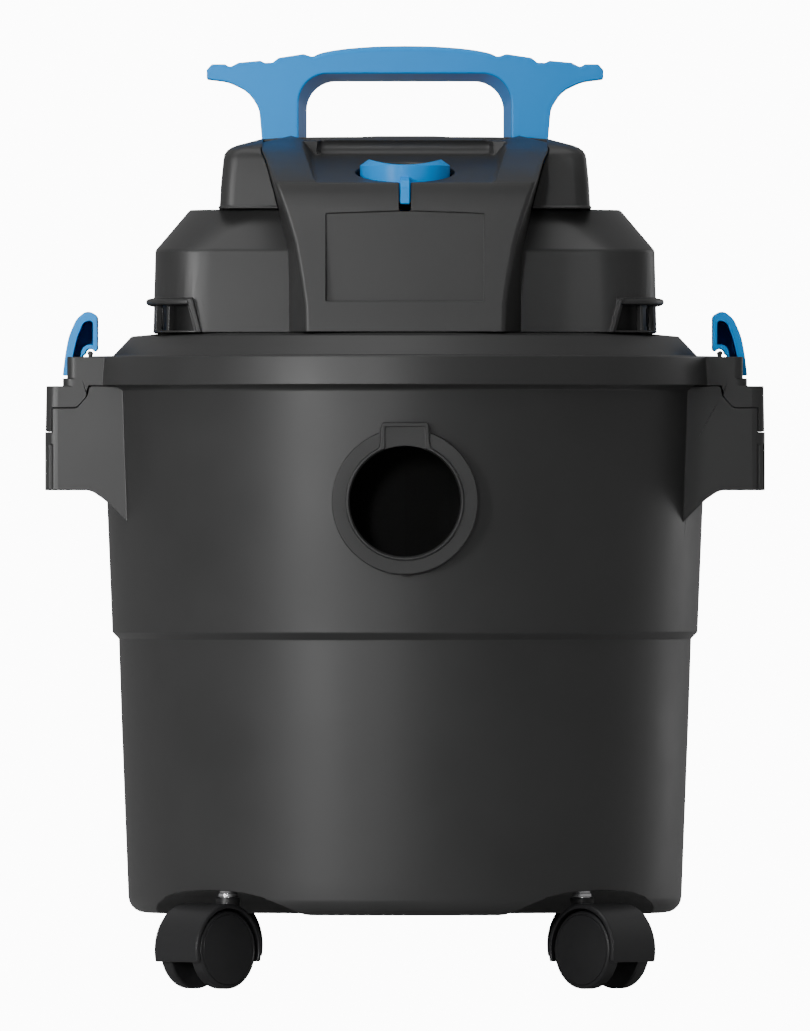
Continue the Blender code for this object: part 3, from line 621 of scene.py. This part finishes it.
def build_lid():
    """Lid with its side blocks and the beads that the latches turn on."""
    lid = turned(LID_OUTSIDE)
    for side, _ in SIDES:
        join(lid, lid_block(side))
        join(lid, hinge_bead(side))
    combine(lid, turned(LID_INSIDE))
    for _, sign_x, sign_y in CORNERS:
        combine(lid, screw_hole(sign_x, sign_y, 280.0, 300.0, 2.2))
    piece(lid, "lid_shell", DARK, "head", ["lid"], 0.35)


# -------- latches

LATCH_OUTSIDE = path([(-153.8, 274.7, 0.3), (-152.8, 283.3, 60.0), (-151.2, 292.3, 30.0),
                      (-147.6, 300.2, 9.0), (-142.6, 304.2, 4.2), (-138.2, 301.5, 2.6),
                      (-138.2, 286.6, 0.6), (-138.9, 285.7)], steps=6)
LATCH_ARM = path([(-144.9, 283.6), (-145.6, 264.0, 1.2), (-148.9, 261.2, 1.6), (-151.9, 274.7, 0.3)],
                 steps=4)
LATCH_HOLLOW = path([(-149.9, 276.5, 0.8), (-149.2, 284.0, 40.0), (-147.2, 292.0, 20.0),
                     (-144.5, 298.6, 3.0), (-140.2, 299.6, 1.5), (-140.2, 288.4, 0.5)], steps=4)
CLIP_INNER, CLIP_OUTER = 2.0, 3.9  # radii of the latch's clip round the bead


def build_latch(side, hand):
    """Sprung latch: a C shaped hinge round the lid's bead, a curved back and an arm."""
    inner = arc((-HINGE_X, HINGE_Z), CLIP_INNER, 30.0, 180.0, 14)
    latch = slab(mirror_x(LATCH_OUTSIDE + inner + LATCH_ARM, side), "Y", -LATCH_HALF, LATCH_HALF, 0.35)
    outer = arc((-HINGE_X, HINGE_Z), CLIP_OUTER, 75.0, 172.0, 8)
    hollow = mirror_x(LATCH_HOLLOW + outer + [(-146.9, 276.5)], side)
    combine(latch, prism(hollow, "Y", -40.0, LATCH_HALF - 3.0))
    piece(latch, "latch_body_" + hand, BLUE, "latch_" + hand, ["latch_" + hand], 0.15)


# -------- motor head

CORNER_X, CORNER_Y = 86.4, 45.0    # where the ribs round the housing's corners meet
CORNER_RADIUS = 25.4               # of the housing's upright corners
SHOULDER_LOW, SHOULDER_RISE = 331.0, 18.0
VENT_TOP = 305.9
VENT_FRONT = 94.5                  # where the air openings begin, along X
RIB_HALF = 0.9                     # half thickness of a rib in the air openings
RIB_PITCH = 11.5
SLOT_PITCH, SLOT_HALF = 5.75, 1.9
BOSS_RADIUS = 5.0                  # of the pillars for the four screws
MOTOR_EYE = 46.3                   # radius of the hole in the housing's top


def housing_loft(profile, inset):
    """Loops of (half length, height) with corners that widen over the sloping shoulder."""
    loops = []
    for half_x, height in profile:
        rise = max(0.0, (height - SHOULDER_LOW) / SHOULDER_RISE)
        half_y = half_x - 42.0
        loops.append(rounded(half_x - inset, half_y - inset, CORNER_RADIUS + 10.0 * rise - inset, height))
    return lofted(loops)


def vent_brow():
    """Projecting edge over the air openings, round both ends of the housing."""
    levels = [(114.0, VENT_TOP), (116.0, 306.4), (116.2, 307.4), (116.0, 308.3), (115.2, 308.8),
              (112.6, 309.3)]
    brow = lofted([rounded(112.0, 69.6, CORNER_RADIUS, 305.4)]
                  + [rounded(half, half - 43.0, CORNER_RADIUS + half - 112.9, height)
                     for half, height in levels])
    return combine(brow, box((-95.0, -90.0, 300.0), (95.0, 90.0, 315.0)))


def build_housing():
    """Motor housing: a shell with sloping shoulders, screw pillars and the air openings."""
    outside = path([(113.0, HOUSING_BASE), (112.0, 330.6, 3.0), (97.4, HOUSING_TOP - 0.8, 0.8),
                    (96.4, HOUSING_TOP)], steps=6)
    housing = housing_loft(outside, 0.0)
    join(housing, vent_brow())
    for side, _ in SIDES:
        frame_rib = mirror_x([(-97.6, 308.8), (-95.0, 308.8), (-91.2, HOUSING_BASE),
                              (-93.4, HOUSING_BASE)], side)
        for back, front in ((-72.6, -60.0), (60.0, 72.6)):
            join(housing, slab(frame_rib, "Y", back, front, 0.4))
    inside = housing_loft([(113.0, HOUSING_BASE - 10.0), (112.0, 330.0), (98.5, 346.5)], WALL)
    for _, sign_x, sign_y in CORNERS:
        combine(inside, screw_hole(sign_x, sign_y, 270.0, 360.0, BOSS_RADIUS))
    combine(housing, inside)
    for _, sign_x, sign_y in CORNERS:
        combine(housing, screw_hole(sign_x, sign_y, 270.0, 316.0, 2.1))
    for side, _ in SIDES:
        combine(housing, vent_cutter(side))
    combine(housing, rod((0, 0, 340.0), (0, 0, 360.0), MOTOR_EYE, DISC))
    piece(housing, "housing_shell", DARK, "head", ["motor_housing"], 0.3)


def vent_cutter(side):
    """Air openings round one end, with the ribs between them left standing."""
    outline = mirror_x([(-VENT_FRONT, HOUSING_BASE + 0.9), (-VENT_FRONT - 3.0, VENT_TOP),
                        (-130.0, VENT_TOP), (-130.0, HOUSING_BASE + 0.9)], side)
    cutter = prism(outline, "Y", -90.0, 90.0)
    low, high = across(side, 90.0, 140.0)
    ribs = []
    for step in range(-3, 4):
        middle = step * RIB_PITCH
        ribs.append(box((low, middle - RIB_HALF, 280.0), (high, middle + RIB_HALF, 320.0)))
    for sign in (-1, 1):
        for degrees in (16.0, 41.0):
            turn = math.radians(degrees)
            along = Vector((side * math.cos(turn), sign * math.sin(turn), 0.0))
            beside = Vector((-along.y, along.x, 0.0)) * RIB_HALF
            start = Vector((side * CORNER_X, sign * CORNER_Y, 0.0)) + along * 8.0
            end = start + along * 40.0
            plan = [(p.x, p.y) for p in (start + beside, end + beside, end - beside, start - beside)]
            ribs.append(prism(plan, "Z", 280.0, 320.0))
    return combine(cutter, together(ribs))


def build_grille(side, hand):
    """Screen behind the air openings of one end, in black plastic darkened further as painted shade for
    the openings' insides.
    """
    outline = []
    for inset, sign in ((2.9, 1), (4.7, -1)):
        radius = 27.0 - inset
        run = ([(84.0, -69.6 + inset)] + arc((84.6, -42.6), radius, -90, 0, 16)
               + arc((84.6, 42.6), radius, 0, 90, 16) + [(84.0, 69.6 - inset)])
        outline += run[::sign]
    grille = prism([(side * x, y) for x, y in outline], "Z", 294.2, 307.0)
    low, high = across(side, 95.0, 120.0)
    openings = []
    for step in range(-8, 9):
        middle = step * SLOT_PITCH
        openings.append(box((low, middle - SLOT_HALF, 296.4), (high, middle + SLOT_HALF, 304.6)))
    combine(grille, together(openings))
    piece(grille, "vent_screen_" + hand, SHADE_BLACK, "head", ["vent_grille_" + hand], 0.15)


# Top cover: half length, half width, corner radius and height of each level.
COVER_LEVELS = [(83.9, 61.0, 7.0, COVER_BASE), (83.9, 61.0, 7.0, COVER_BASE + 0.7),
                (83.3, 60.5, 7.0, COVER_BASE + 1.4), (82.7, 60.0, 7.0, 361.0), (81.7, 59.0, 7.0, 371.0),
                (81.2, 58.5, 7.0, 373.6), (80.0, 57.4, 7.2, 375.4), (78.0, 55.6, 7.6, 376.8),
                (75.6, 53.8, 8.0, 377.8), (64.4, 46.0, 8.0, 380.8), (56.0, 39.0, 8.0, 381.4),
                (40.0, 26.0, 8.0, 381.8), (20.0, 14.0, 6.0, COVER_TOP)]
LEG_INNER, LEG_OUTER = 44.0, 64.4
LEG_FRONT, LEG_BACK = HANDLE_LOW[1], HANDLE_HIGH[1]


def build_top_cover():
    """Domed cover, cut out for the fascia, the rails and the handle's legs."""
    cover = lofted([rounded(x - 0.2, y, radius, height) for x, y, radius, height in COVER_LEVELS])
    inside = lofted([rounded(81.2, 58.5, 4.5, COVER_BASE - 10.0), rounded(80.2, 57.6, 4.5, 363.0),
                     rounded(79.0, 56.4, 4.5, 371.4), rounded(74.0, 52.2, 4.5, 375.6),
                     rounded(62.8, 44.4, 4.5, 378.6)])
    combine(cover, inside)
    combine(cover, fascia_form(GAP))
    combine(cover, box((-63.8, -90.0, 374.6), (63.8, -23.7, 400.0)))
    for side, _ in SIDES:
        low, high = across(side, LEG_INNER - GAP, LEG_OUTER + GAP)
        combine(cover, box((low, LEG_FRONT - GAP, 366.0), (high, LEG_BACK + GAP, 400.0)))
    piece(cover, "cover_shell", DARK, "head", ["top_cover"], 0.3)


# -------- front fascia

# Height, half width at the front edge, half width and Y where it meets the housing, front Y.
SHIELD = [(HOUSING_BASE, 44.6, 52.0, -70.4, -110.0), (300.0, 44.8, 52.0, -70.8, -109.4),
          (306.0, 45.0, 52.0, -71.0, -108.7), (313.0, 46.0, 52.0, -71.0, -107.9),
          (320.0, 47.1, 52.1, -70.8, -107.1), (327.0, 48.4, 52.3, -70.6, -106.3),
          (333.0, 49.5, 52.9, -69.0, -105.7), (340.0, 51.5, 54.6, -63.5, -104.9),
          (347.0, 53.7, 56.2, -59.0, -104.2), (350.0, 54.8, 56.8, -60.0, -104.0),
          (354.5, 56.3, 57.9, -60.6, -103.4), (358.0, 57.6, 58.8, -60.2, -102.6),
          (360.5, 58.5, 59.5, -60.1, -101.4), (361.6, 58.9, 59.8, -60.0, -99.4),
          (365.0, 60.0, 60.7, -59.6, -91.4), (368.0, 61.0, 61.5, -59.2, -83.0),
          (371.0, 62.0, 62.5, -58.8, -74.0), (374.0, 63.6, 63.9, -58.0, -65.4),
          (376.0, 64.2, 64.3, -56.0, -59.0), (379.0, 64.2, 64.3, -40.0, -44.0),
          (381.0, 63.4, 63.6, -32.0, -34.6), (383.0, 61.8, 62.0, -24.5, -25.0)]
SHIELD_BACK = -24.0
SHIELD_WALL = 2.6
EDGE_SHARE = 0.24                  # radius of the upright front edges, as a share of the depth there
LIP_ROWS = 11                      # rows of the shield up to the lip
HOLLOW_TOP = 357.0
LABEL_Y = -103.8
WELL_RADIUS = 22.2                 # of the well that the button sinks into


def fascia_form(growth):
    """The fascia's outer form, grown for a gap round it."""
    loops = []
    for height, front, junction, junction_y, front_y in SHIELD:
        back_y = SHIELD_BACK + growth
        edge = EDGE_SHARE * max(0.5, min(10.0, junction_y - front_y))
        half = path([(junction + growth, back_y), (junction + growth, min(junction_y, back_y - 0.2)),
                     (front + growth, front_y - growth, edge),
                     (0.0, front_y - growth)], steps=6)
        loops.append(both_halves([(x, y, height) for x, y in half]))
    return lofted(loops)


# Control valley between the rails: Y, floor height, floor half width, top height and top half width.
VALLEY = [(-112.0, 360.3, 40.0, 363.5, 41.6), (-100.6, 360.5, 40.0, 364.2, 41.8),
          (-86.0, 363.7, 40.6, 368.4, 43.2), (-74.0, 366.3, 41.2, 372.6, 44.6),
          (-60.0, 369.3, 41.8, 376.6, 46.0), (-47.0, 372.2, 41.4, 379.0, 46.4),
          (-41.2, 373.5, 40.6, 379.8, 46.0), (-40.4, 382.0, 39.6, 383.0, 42.6),
          (-10.0, 382.4, 36.0, 384.0, 42.0)]
# The rails' crest lines and the low dome between them, from the outer edge to the middle.
CREST = [(-75.0, 376.2), (-64.3, 378.9), (-51.3, 382.3), (-43.0, 380.0), (-36.0, 380.3), (-24.0, 381.6),
         (-12.0, 382.2), (0.0, 382.4)]


def valley_cutter():
    """Cutter of the valley; its walls are carried on above the rails at the same slope."""
    loops = []
    for y, floor_z, floor_half, top_z, top_half in VALLEY:
        rise, spread_x = top_z - floor_z, top_half - floor_half
        half = path([(top_half + spread_x * 2.0, top_z + rise * 2.0), (floor_half, floor_z, 2.5),
                     (0.0, floor_z)], steps=6)
        loop = both_halves([(x, y, z) for x, z in half])
        loops.append(loop + [(-90.0, y, 420.0), (90.0, y, 420.0)])
    return lofted(loops)


def fascia_hollow():
    """The fascia's inside, with a thicker wall left behind the label recess."""
    loops = []
    for height, front, junction, junction_y, front_y in SHIELD[:LIP_ROWS]:
        wall = SHIELD_WALL
        half = [(junction - wall, -10.0), (junction - wall, junction_y), (front - wall, front_y + wall)]
        level = min(height, HOLLOW_TOP) if height > HOUSING_BASE else HOUSING_BASE - 10.0
        loops.append([(x, y, level) for x, y in half] + [(-x, y, level) for x, y in reversed(half)])
    inside = lofted(loops)
    return combine(inside, box((-38.0, -120.0, 304.8), (38.0, LABEL_Y + WALL, 350.0)))


def build_fascia():
    """Shield with the label recess, the lip, the rails and the control panel between them."""
    fascia = fascia_form(0.0)
    combine(fascia, box((-90.0, -71.3, 280.0), (90.0, 0.0, 331.6)))
    shoulder = [(-71.1, 280.0), (-71.1, 330.6), (-56.6, 349.7), (0.0, 349.7), (0.0, 280.0)]
    combine(fascia, prism(shoulder, "X", -90.0, 90.0))
    combine(fascia, valley_cutter())
    crest = both_halves(CREST) + [(75.0, 400.0), (-75.0, 400.0)]
    combine(fascia, prism(crest, "Y", -70.0, 0.0))
    combine(fascia, rod((-39.6, -41.3, 377.2), (39.6, -41.3, 377.2), 4.0, ROUND, 3.8))
    combine(fascia, fascia_hollow())
    under_panel = [(-94.0, 330.0), (-94.0, 358.2), (-41.5, 370.8), (-30.8, 377.0), (-24.4, 379.0),
                   (-10.0, 379.0), (-10.0, 330.0)]
    combine(fascia, prism(under_panel, "X", -35.5, 35.5))
    combine(fascia, rod((0, BUTTON_Y, 340.0), (0, BUTTON_Y, 400.0), WELL_RADIUS, DISC))
    slot = path([(-2.6, 400.0), (-2.6, 347.6, 1.0), (2.6, 347.6, 1.0), (2.6, 400.0)], steps=4)
    combine(fascia, prism(slot, "Y", -120.0, BUTTON_Y))
    label = path([(-35.3, 307.4, 0.5), (-35.3, 346.6, 0.5), (0.0, 347.9, 300.0), (35.3, 346.6, 0.5),
                  (35.3, 307.4, 0.5)], closed=True, steps=6)
    combine(fascia, prism(label, "Y", -120.0, LABEL_Y))
    piece(fascia, "fascia_shell", DARK, "head", ["front_fascia"], 0.35)


GLAND_Z = 321.0


def build_rear_fascia():
    """Raised panel on the housing's back, with the hole for the cord gland."""
    outline = [(x, y + GLAND_Z) for x, y, _ in rounded(45.0, 11.0, 6.0, 0.0)]
    panel = slab(outline, "Y", 72.2, 77.8, 1.2)
    combine(panel, rod((0, 60.0, GLAND_Z), (0, 90.0, GLAND_Z), 6.3, ROUND))
    piece(panel, "rear_panel", DARK, "head", ["rear_fascia"])


def build_gland():
    """Rubber cord gland with rings that let it bend."""
    profile = path([(3.6, 74.0), (3.6, 92.0), (5.0, 92.0, 0.4), (5.2, 88.0), (4.6, 87.4), (4.6, 86.6),
                    (5.5, 86.0), (5.6, 83.8), (4.9, 83.2), (4.9, 82.4), (6.0, 81.6), (6.0, 80.6),
                    (9.0, 80.6, 0.8), (9.0, 78.1, 0.4), (6.0, 78.1), (6.0, 71.9), (0.0, 71.9),
                    (0.0, 74.0)], steps=3)
    gland = aimed(turned(profile, ROUND), (0, 0, GLAND_Z), (0, 1, 0))
    piece(gland, "gland_body", RUBBER, "head", ["cord_gland"])


# -------- handle and button

# Right half of the outline: crown, finger scallops, wing tip, underside and leg.
CROWN = [(0.0, 422.8), (12.0, 422.6), (24.0, 421.8), (32.0, 420.8), (38.1, 419.5), (41.7, 417.8)]
SCALLOPS = [(41.7, 417.9), (45.6, 419.2, 1.8), (56.8, 417.5, 1.8), (59.6, 415.3, 0.8), (63.0, 415.2, 0.8),
            (65.0, 416.2, 1.6), (74.8, 415.3, 1.8), (78.7, 413.3), (80.9, 414.6, 1.5)]
WING = [(86.9, 414.6, 1.6), (89.2, 412.0, 0.8), (89.2, 407.9, 0.8), (79.6, 406.7, 18.0),
        (70.4, 402.4, 14.0), (65.6, 394.6, 12.0), (LEG_OUTER, 380.6), (LEG_OUTER, 370.0)]
CROWN_EDGE, SCALLOP_EDGE, WING_EDGE = 2.2, 1.2, 0.6    # widths of the rounded long edges


def hand_opening():
    """Cutter of the space under the handle, wider in front than behind."""
    loops = []
    for depth, half, top in ((LEG_FRONT - 4.0, 48.3, 410.8), (LEG_BACK + 4.0, LEG_INNER - 0.3, 406.6)):
        outline = path([(-half, 350.0), (-half, top, 13.0), (half, top, 13.0), (half, 350.0)], steps=12)
        loops.append([(x, depth, z) for x, z in outline])
    return lofted(loops)


def build_handle():
    """Bridge handle; its long edges have a wide soft rounding on top and a small one below."""
    crown = curve(CROWN, 16)[:-1]
    scallops = path(SCALLOPS + WING[:1], steps=4)[:-1]
    wing = path([scallops[-1]] + WING, steps=5)[1:]
    right = crown + scallops + wing
    widths = ([CROWN_EDGE] * len(crown) + [SCALLOP_EDGE] * len(scallops)
              + [WING_EDGE] * len(wing))
    outline = right + [(-x, z) for x, z in reversed(right) if x > 0.001]
    widths += [width for (x, _), width in zip(reversed(right), reversed(widths)) if x > 0.001]
    handle = slab(outline, "Y", LEG_FRONT, LEG_BACK, widths, 4)
    combine(handle, hand_opening())
    piece(handle, "handle_body", BLUE, "head", ["handle"], 0.8)


SCOOP_RADIUS, SCOOP_FLOOR = 52.5, 368.5


def build_button():
    """Round push button with a scooped face and a rib that runs down the fascia's slot."""
    profile = path([(0.0, BUTTON_FOOT), (BUTTON_RADIUS, BUTTON_FOOT, 0.4), (BUTTON_RADIUS, 368.3, 0.6),
                    (16.3, 371.0, 0.8), (0.0, 371.0)], steps=4)
    button = turned(profile, 128, (0.0, BUTTON_Y))
    height = SCOOP_FLOOR + SCOOP_RADIUS
    combine(button, rod((0, BUTTON_Y - 40.0, height), (0, BUTTON_Y + 40.0, height), SCOOP_RADIUS, 256))
    rib_foot = BUTTON_LOW[2]
    rib = path([(-104.4, rib_foot, 0.5), (-104.4, 358.4, 2.0), (-102.0, 361.4, 2.0), (-95.0, 364.4, 6.0),
                (-80.0, 366.6), (-80.0, rib_foot)], closed=True)
    join(button, slab(rib, "X", -2.1, 2.1, 0.5))
    piece(button, "button_body", BLUE, "button", ["power_button"], 0.15)


# -------- casters

HOOD_RADIUS, HOOD_HALF = 20.8, 13.7
WHEEL_ROOM = 18.6      # radius of the room for the wheels
WEB_HALF = 5.9         # half thickness of the hood's web between them
AXLE_RADIUS = 2.3
PIN = [(0.0, 26.0), (4.0, 26.0, 0.4), (4.0, 40.9), (4.5, 41.1, 0.2), (4.5, 42.7, 0.2), (4.0, 42.9),
       (4.0, 58.7, 0.4), (0.0, 58.7)]
# Half section of a wheel: radius and distance along the axle from the caster's middle.
WHEEL = [(AXLE_RADIUS, 6.4), (WHEEL_RADIUS, 6.4, 1.0), (WHEEL_RADIUS, 13.1, 1.2), (16.0, 13.1),
         (15.8, 12.8), (15.6, 12.8), (15.4, 13.1), (6.0, 13.5, 30.0), (0.0, 13.6), (0.0, 12.3),
         (AXLE_RADIUS, 12.3)]


def on_axle(profile, axle, along, segments=DISC):
    """A shape turned about a caster's axle."""
    return aimed(turned(profile, segments), axle, along)


def wheel_room(axle, along):
    """Cutter of the room for both wheels, which leaves the web between them."""
    rooms = []
    for low, high in ((-20.0, -WEB_HALF), (WEB_HALF, 20.0)):
        section = [(0.0, low), (WHEEL_ROOM, low), (WHEEL_ROOM, high), (0.0, high)]
        rooms.append(on_axle(section, axle, along))
    return together(rooms)


def build_hood(name, spot, axle, out, along):
    """Hood over both wheels, with the boss that the stem stands in."""
    hood = slab(arc((0.0, 0.0), HOOD_RADIUS, -14.8, 194.8, 60), "Y", -HOOD_HALF, HOOD_HALF, 1.2)
    upright = Matrix((out, along, (0.0, 0.0, 1.0))).transposed().to_4x4()
    hood.data.transform(Matrix.Translation(axle * MM) @ upright)
    combine(hood, wheel_room(axle, along))
    boss = turned(path([(0.0, 20.0), (5.4, 20.0), (5.4, 40.7, 0.5), (0.0, 40.7)], steps=3), ROUND, spot)
    combine(boss, wheel_room(axle, along))
    join(hood, boss)
    combine(hood, turned([(0.0, 25.7), (4.3, 25.7), (4.3, 50.0), (0.0, 50.0)], ROUND, spot))
    bore = [(0.0, -20.0), (AXLE_RADIUS, -20.0), (AXLE_RADIUS, 20.0), (0.0, 20.0)]
    combine(hood, on_axle(bore, axle, along, ROUND))
    piece(hood, "hood_" + name, CASTER, "swivel_" + name, ["caster_hood_" + name], 0.3)


def build_caster(name, sign_x, sign_y):
    """Twin-wheel caster whose axle trails outwards along the tank's diagonal."""
    stem = Vector((sign_x * STEM_XY, sign_y * STEM_XY, 0.0))
    out = Vector((sign_x, sign_y, 0.0)).normalized()
    along = Vector((-out.y, out.x, 0.0))
    axle = stem + out * TRAIL + Vector((0.0, 0.0, AXLE_Z))
    spot = (stem.x, stem.y)
    pin = turned(path(PIN, steps=3), ROUND, spot)
    piece(pin, "stem_" + name, STEEL, "tank", ["caster_stem_" + name])
    build_hood(name, spot, axle, out, along)
    for label, sign in (("a", -1.0), ("b", 1.0)):
        wheel = on_axle(path(WHEEL, steps=4), axle, along * sign)
        piece(wheel, "wheel_" + name + "_" + label, CASTER, "wheels_" + name,
              ["caster_wheel_" + name + "_" + label])


# -------- stage

# Sizes in metres, power in watts.
BACKDROP_WHITE = 12.0
FLOOR_GREY = 0.6
WORLD_LIGHT = 0.35
CAMERA_DISTANCE, CAMERA_HEIGHT = 14.0, 0.2117
VIEW_HEIGHT = 0.464                # height of what the picture takes in, at the object
SENSOR_HEIGHT = 24.0               # millimetres


def brighten(tree, lighting, seen, output):
    """The backdrop looks white while it lights the object only softly."""
    mix = node(tree, "ShaderNodeMixShader")
    tree.links.new(node(tree, "ShaderNodeLightPath").outputs["Is Camera Ray"], mix.inputs["Fac"])
    tree.links.new(lighting, mix.inputs[1])
    tree.links.new(seen, mix.inputs[2])
    tree.links.new(mix.outputs["Shader"], output.inputs["Surface"])


def build_floor():
    """Wide plain floor."""
    bpy.ops.mesh.primitive_plane_add(size=60.0, location=(0.0, 0.0, 0.0))
    floor = bpy.context.object
    floor.name = "floor"
    paint = bpy.data.materials.new("floor")
    paint.use_nodes = True
    tree = paint.node_tree
    shader = tree.nodes["Principled BSDF"]
    shader.inputs["Base Color"].default_value = (FLOOR_GREY, FLOOR_GREY, FLOOR_GREY, 1.0)
    shader.inputs["Roughness"].default_value = 0.9
    glow = node(tree, "ShaderNodeEmission", Strength=BACKDROP_WHITE)
    brighten(tree, shader.outputs["BSDF"], glow.outputs["Emission"], tree.nodes["Material Output"])
    floor.data.materials.append(paint)


def build_world():
    """Even soft light from all round."""
    world = bpy.data.worlds.new("studio")
    bpy.context.scene.world = world
    world.use_nodes = True
    tree = world.node_tree
    back = tree.nodes["Background"]
    seen = node(tree, "ShaderNodeBackground", Strength=BACKDROP_WHITE)
    back.inputs["Strength"].default_value = WORLD_LIGHT
    for light in (back, seen):
        light.inputs["Color"].default_value = (1.0, 1.0, 1.0, 1.0)
    brighten(tree, back.outputs["Background"], seen.outputs["Background"], tree.nodes["World Output"])


def put_light(light, place, target):
    """Adds a light to the scene and points it at the target."""
    item = bpy.data.objects.new(light.name, light)
    item.location = place
    item.rotation_euler = (Vector(target) - Vector(place)).to_track_quat("-Z", "Y").to_euler()
    bpy.context.scene.collection.objects.link(item)
    return item


def softbox(name, place, power, width, height):
    """A flat light aimed at the object's middle."""
    light = bpy.data.lights.new(name, "AREA")
    light.energy = power
    light.shape = "RECTANGLE"
    light.size = width
    light.size_y = height
    put_light(light, place, (0.0, 0.0, 0.22))


def spotlight(name, place, target, power, degrees, tallness):
    """A soft spot whose cone is stretched upright."""
    lamp = bpy.data.lights.new(name, "SPOT")
    lamp.energy = power
    lamp.shadow_soft_size = 0.3
    lamp.spot_size = math.radians(degrees)
    lamp.spot_blend = 1.0
    put_light(lamp, place, target).scale = (1.0, tallness, 1.0)


def build_camera():
    """A long lens, level with the object's middle."""
    lens = bpy.data.cameras.new("camera")
    lens.sensor_fit = "VERTICAL"
    lens.sensor_height = SENSOR_HEIGHT
    lens.lens = SENSOR_HEIGHT * CAMERA_DISTANCE / VIEW_HEIGHT
    lens.clip_end = 200.0
    camera = bpy.data.objects.new("camera", lens)
    camera.location = (0.0, -CAMERA_DISTANCE, CAMERA_HEIGHT)
    camera.rotation_euler = (math.pi / 2.0, 0.0, 0.0)
    bpy.context.scene.collection.objects.link(camera)
    bpy.context.scene.camera = camera


def build_stage():
    """White floor and backdrop, soft lights and the camera."""
    build_floor()
    build_world()
    softbox("fill", (1.75, 1.6, 0.5), 5.5, 0.5, 1.6)
    softbox("top", (-0.3, -0.5, 2.2), 12.0, 1.4, 1.4)
    spotlight("key", (-1.35, -1.75, 0.5), (-0.21, -0.05, 0.21), 138.0, 19.0, 2.2)
    spotlight("left_front", (-0.75, -4.0, 0.7), (-0.21, -0.1, 0.26), 310.0, 6.0, 2.5)
    build_camera()


# -------- build

build_stage()
build_tank()
build_inlet()
build_lid()
for side, hand in SIDES:
    build_latch(side, hand)
    build_grille(side, hand)
build_housing()
build_top_cover()
build_fascia()
build_rear_fascia()
build_gland()
build_handle()
build_button()
for name, sign_x, sign_y in CORNERS:
    build_caster(name, sign_x, sign_y)

# CAD nodes that no piece replaces keep their shape and get their slot's material.
slots = {row["node"]: row["material_slot"] for row in frame["record"]["subparts"]}
for name, item in frame["nodes"].items():
    item.data.materials.clear()
    item.data.materials.append(MATERIALS[slots[name]])
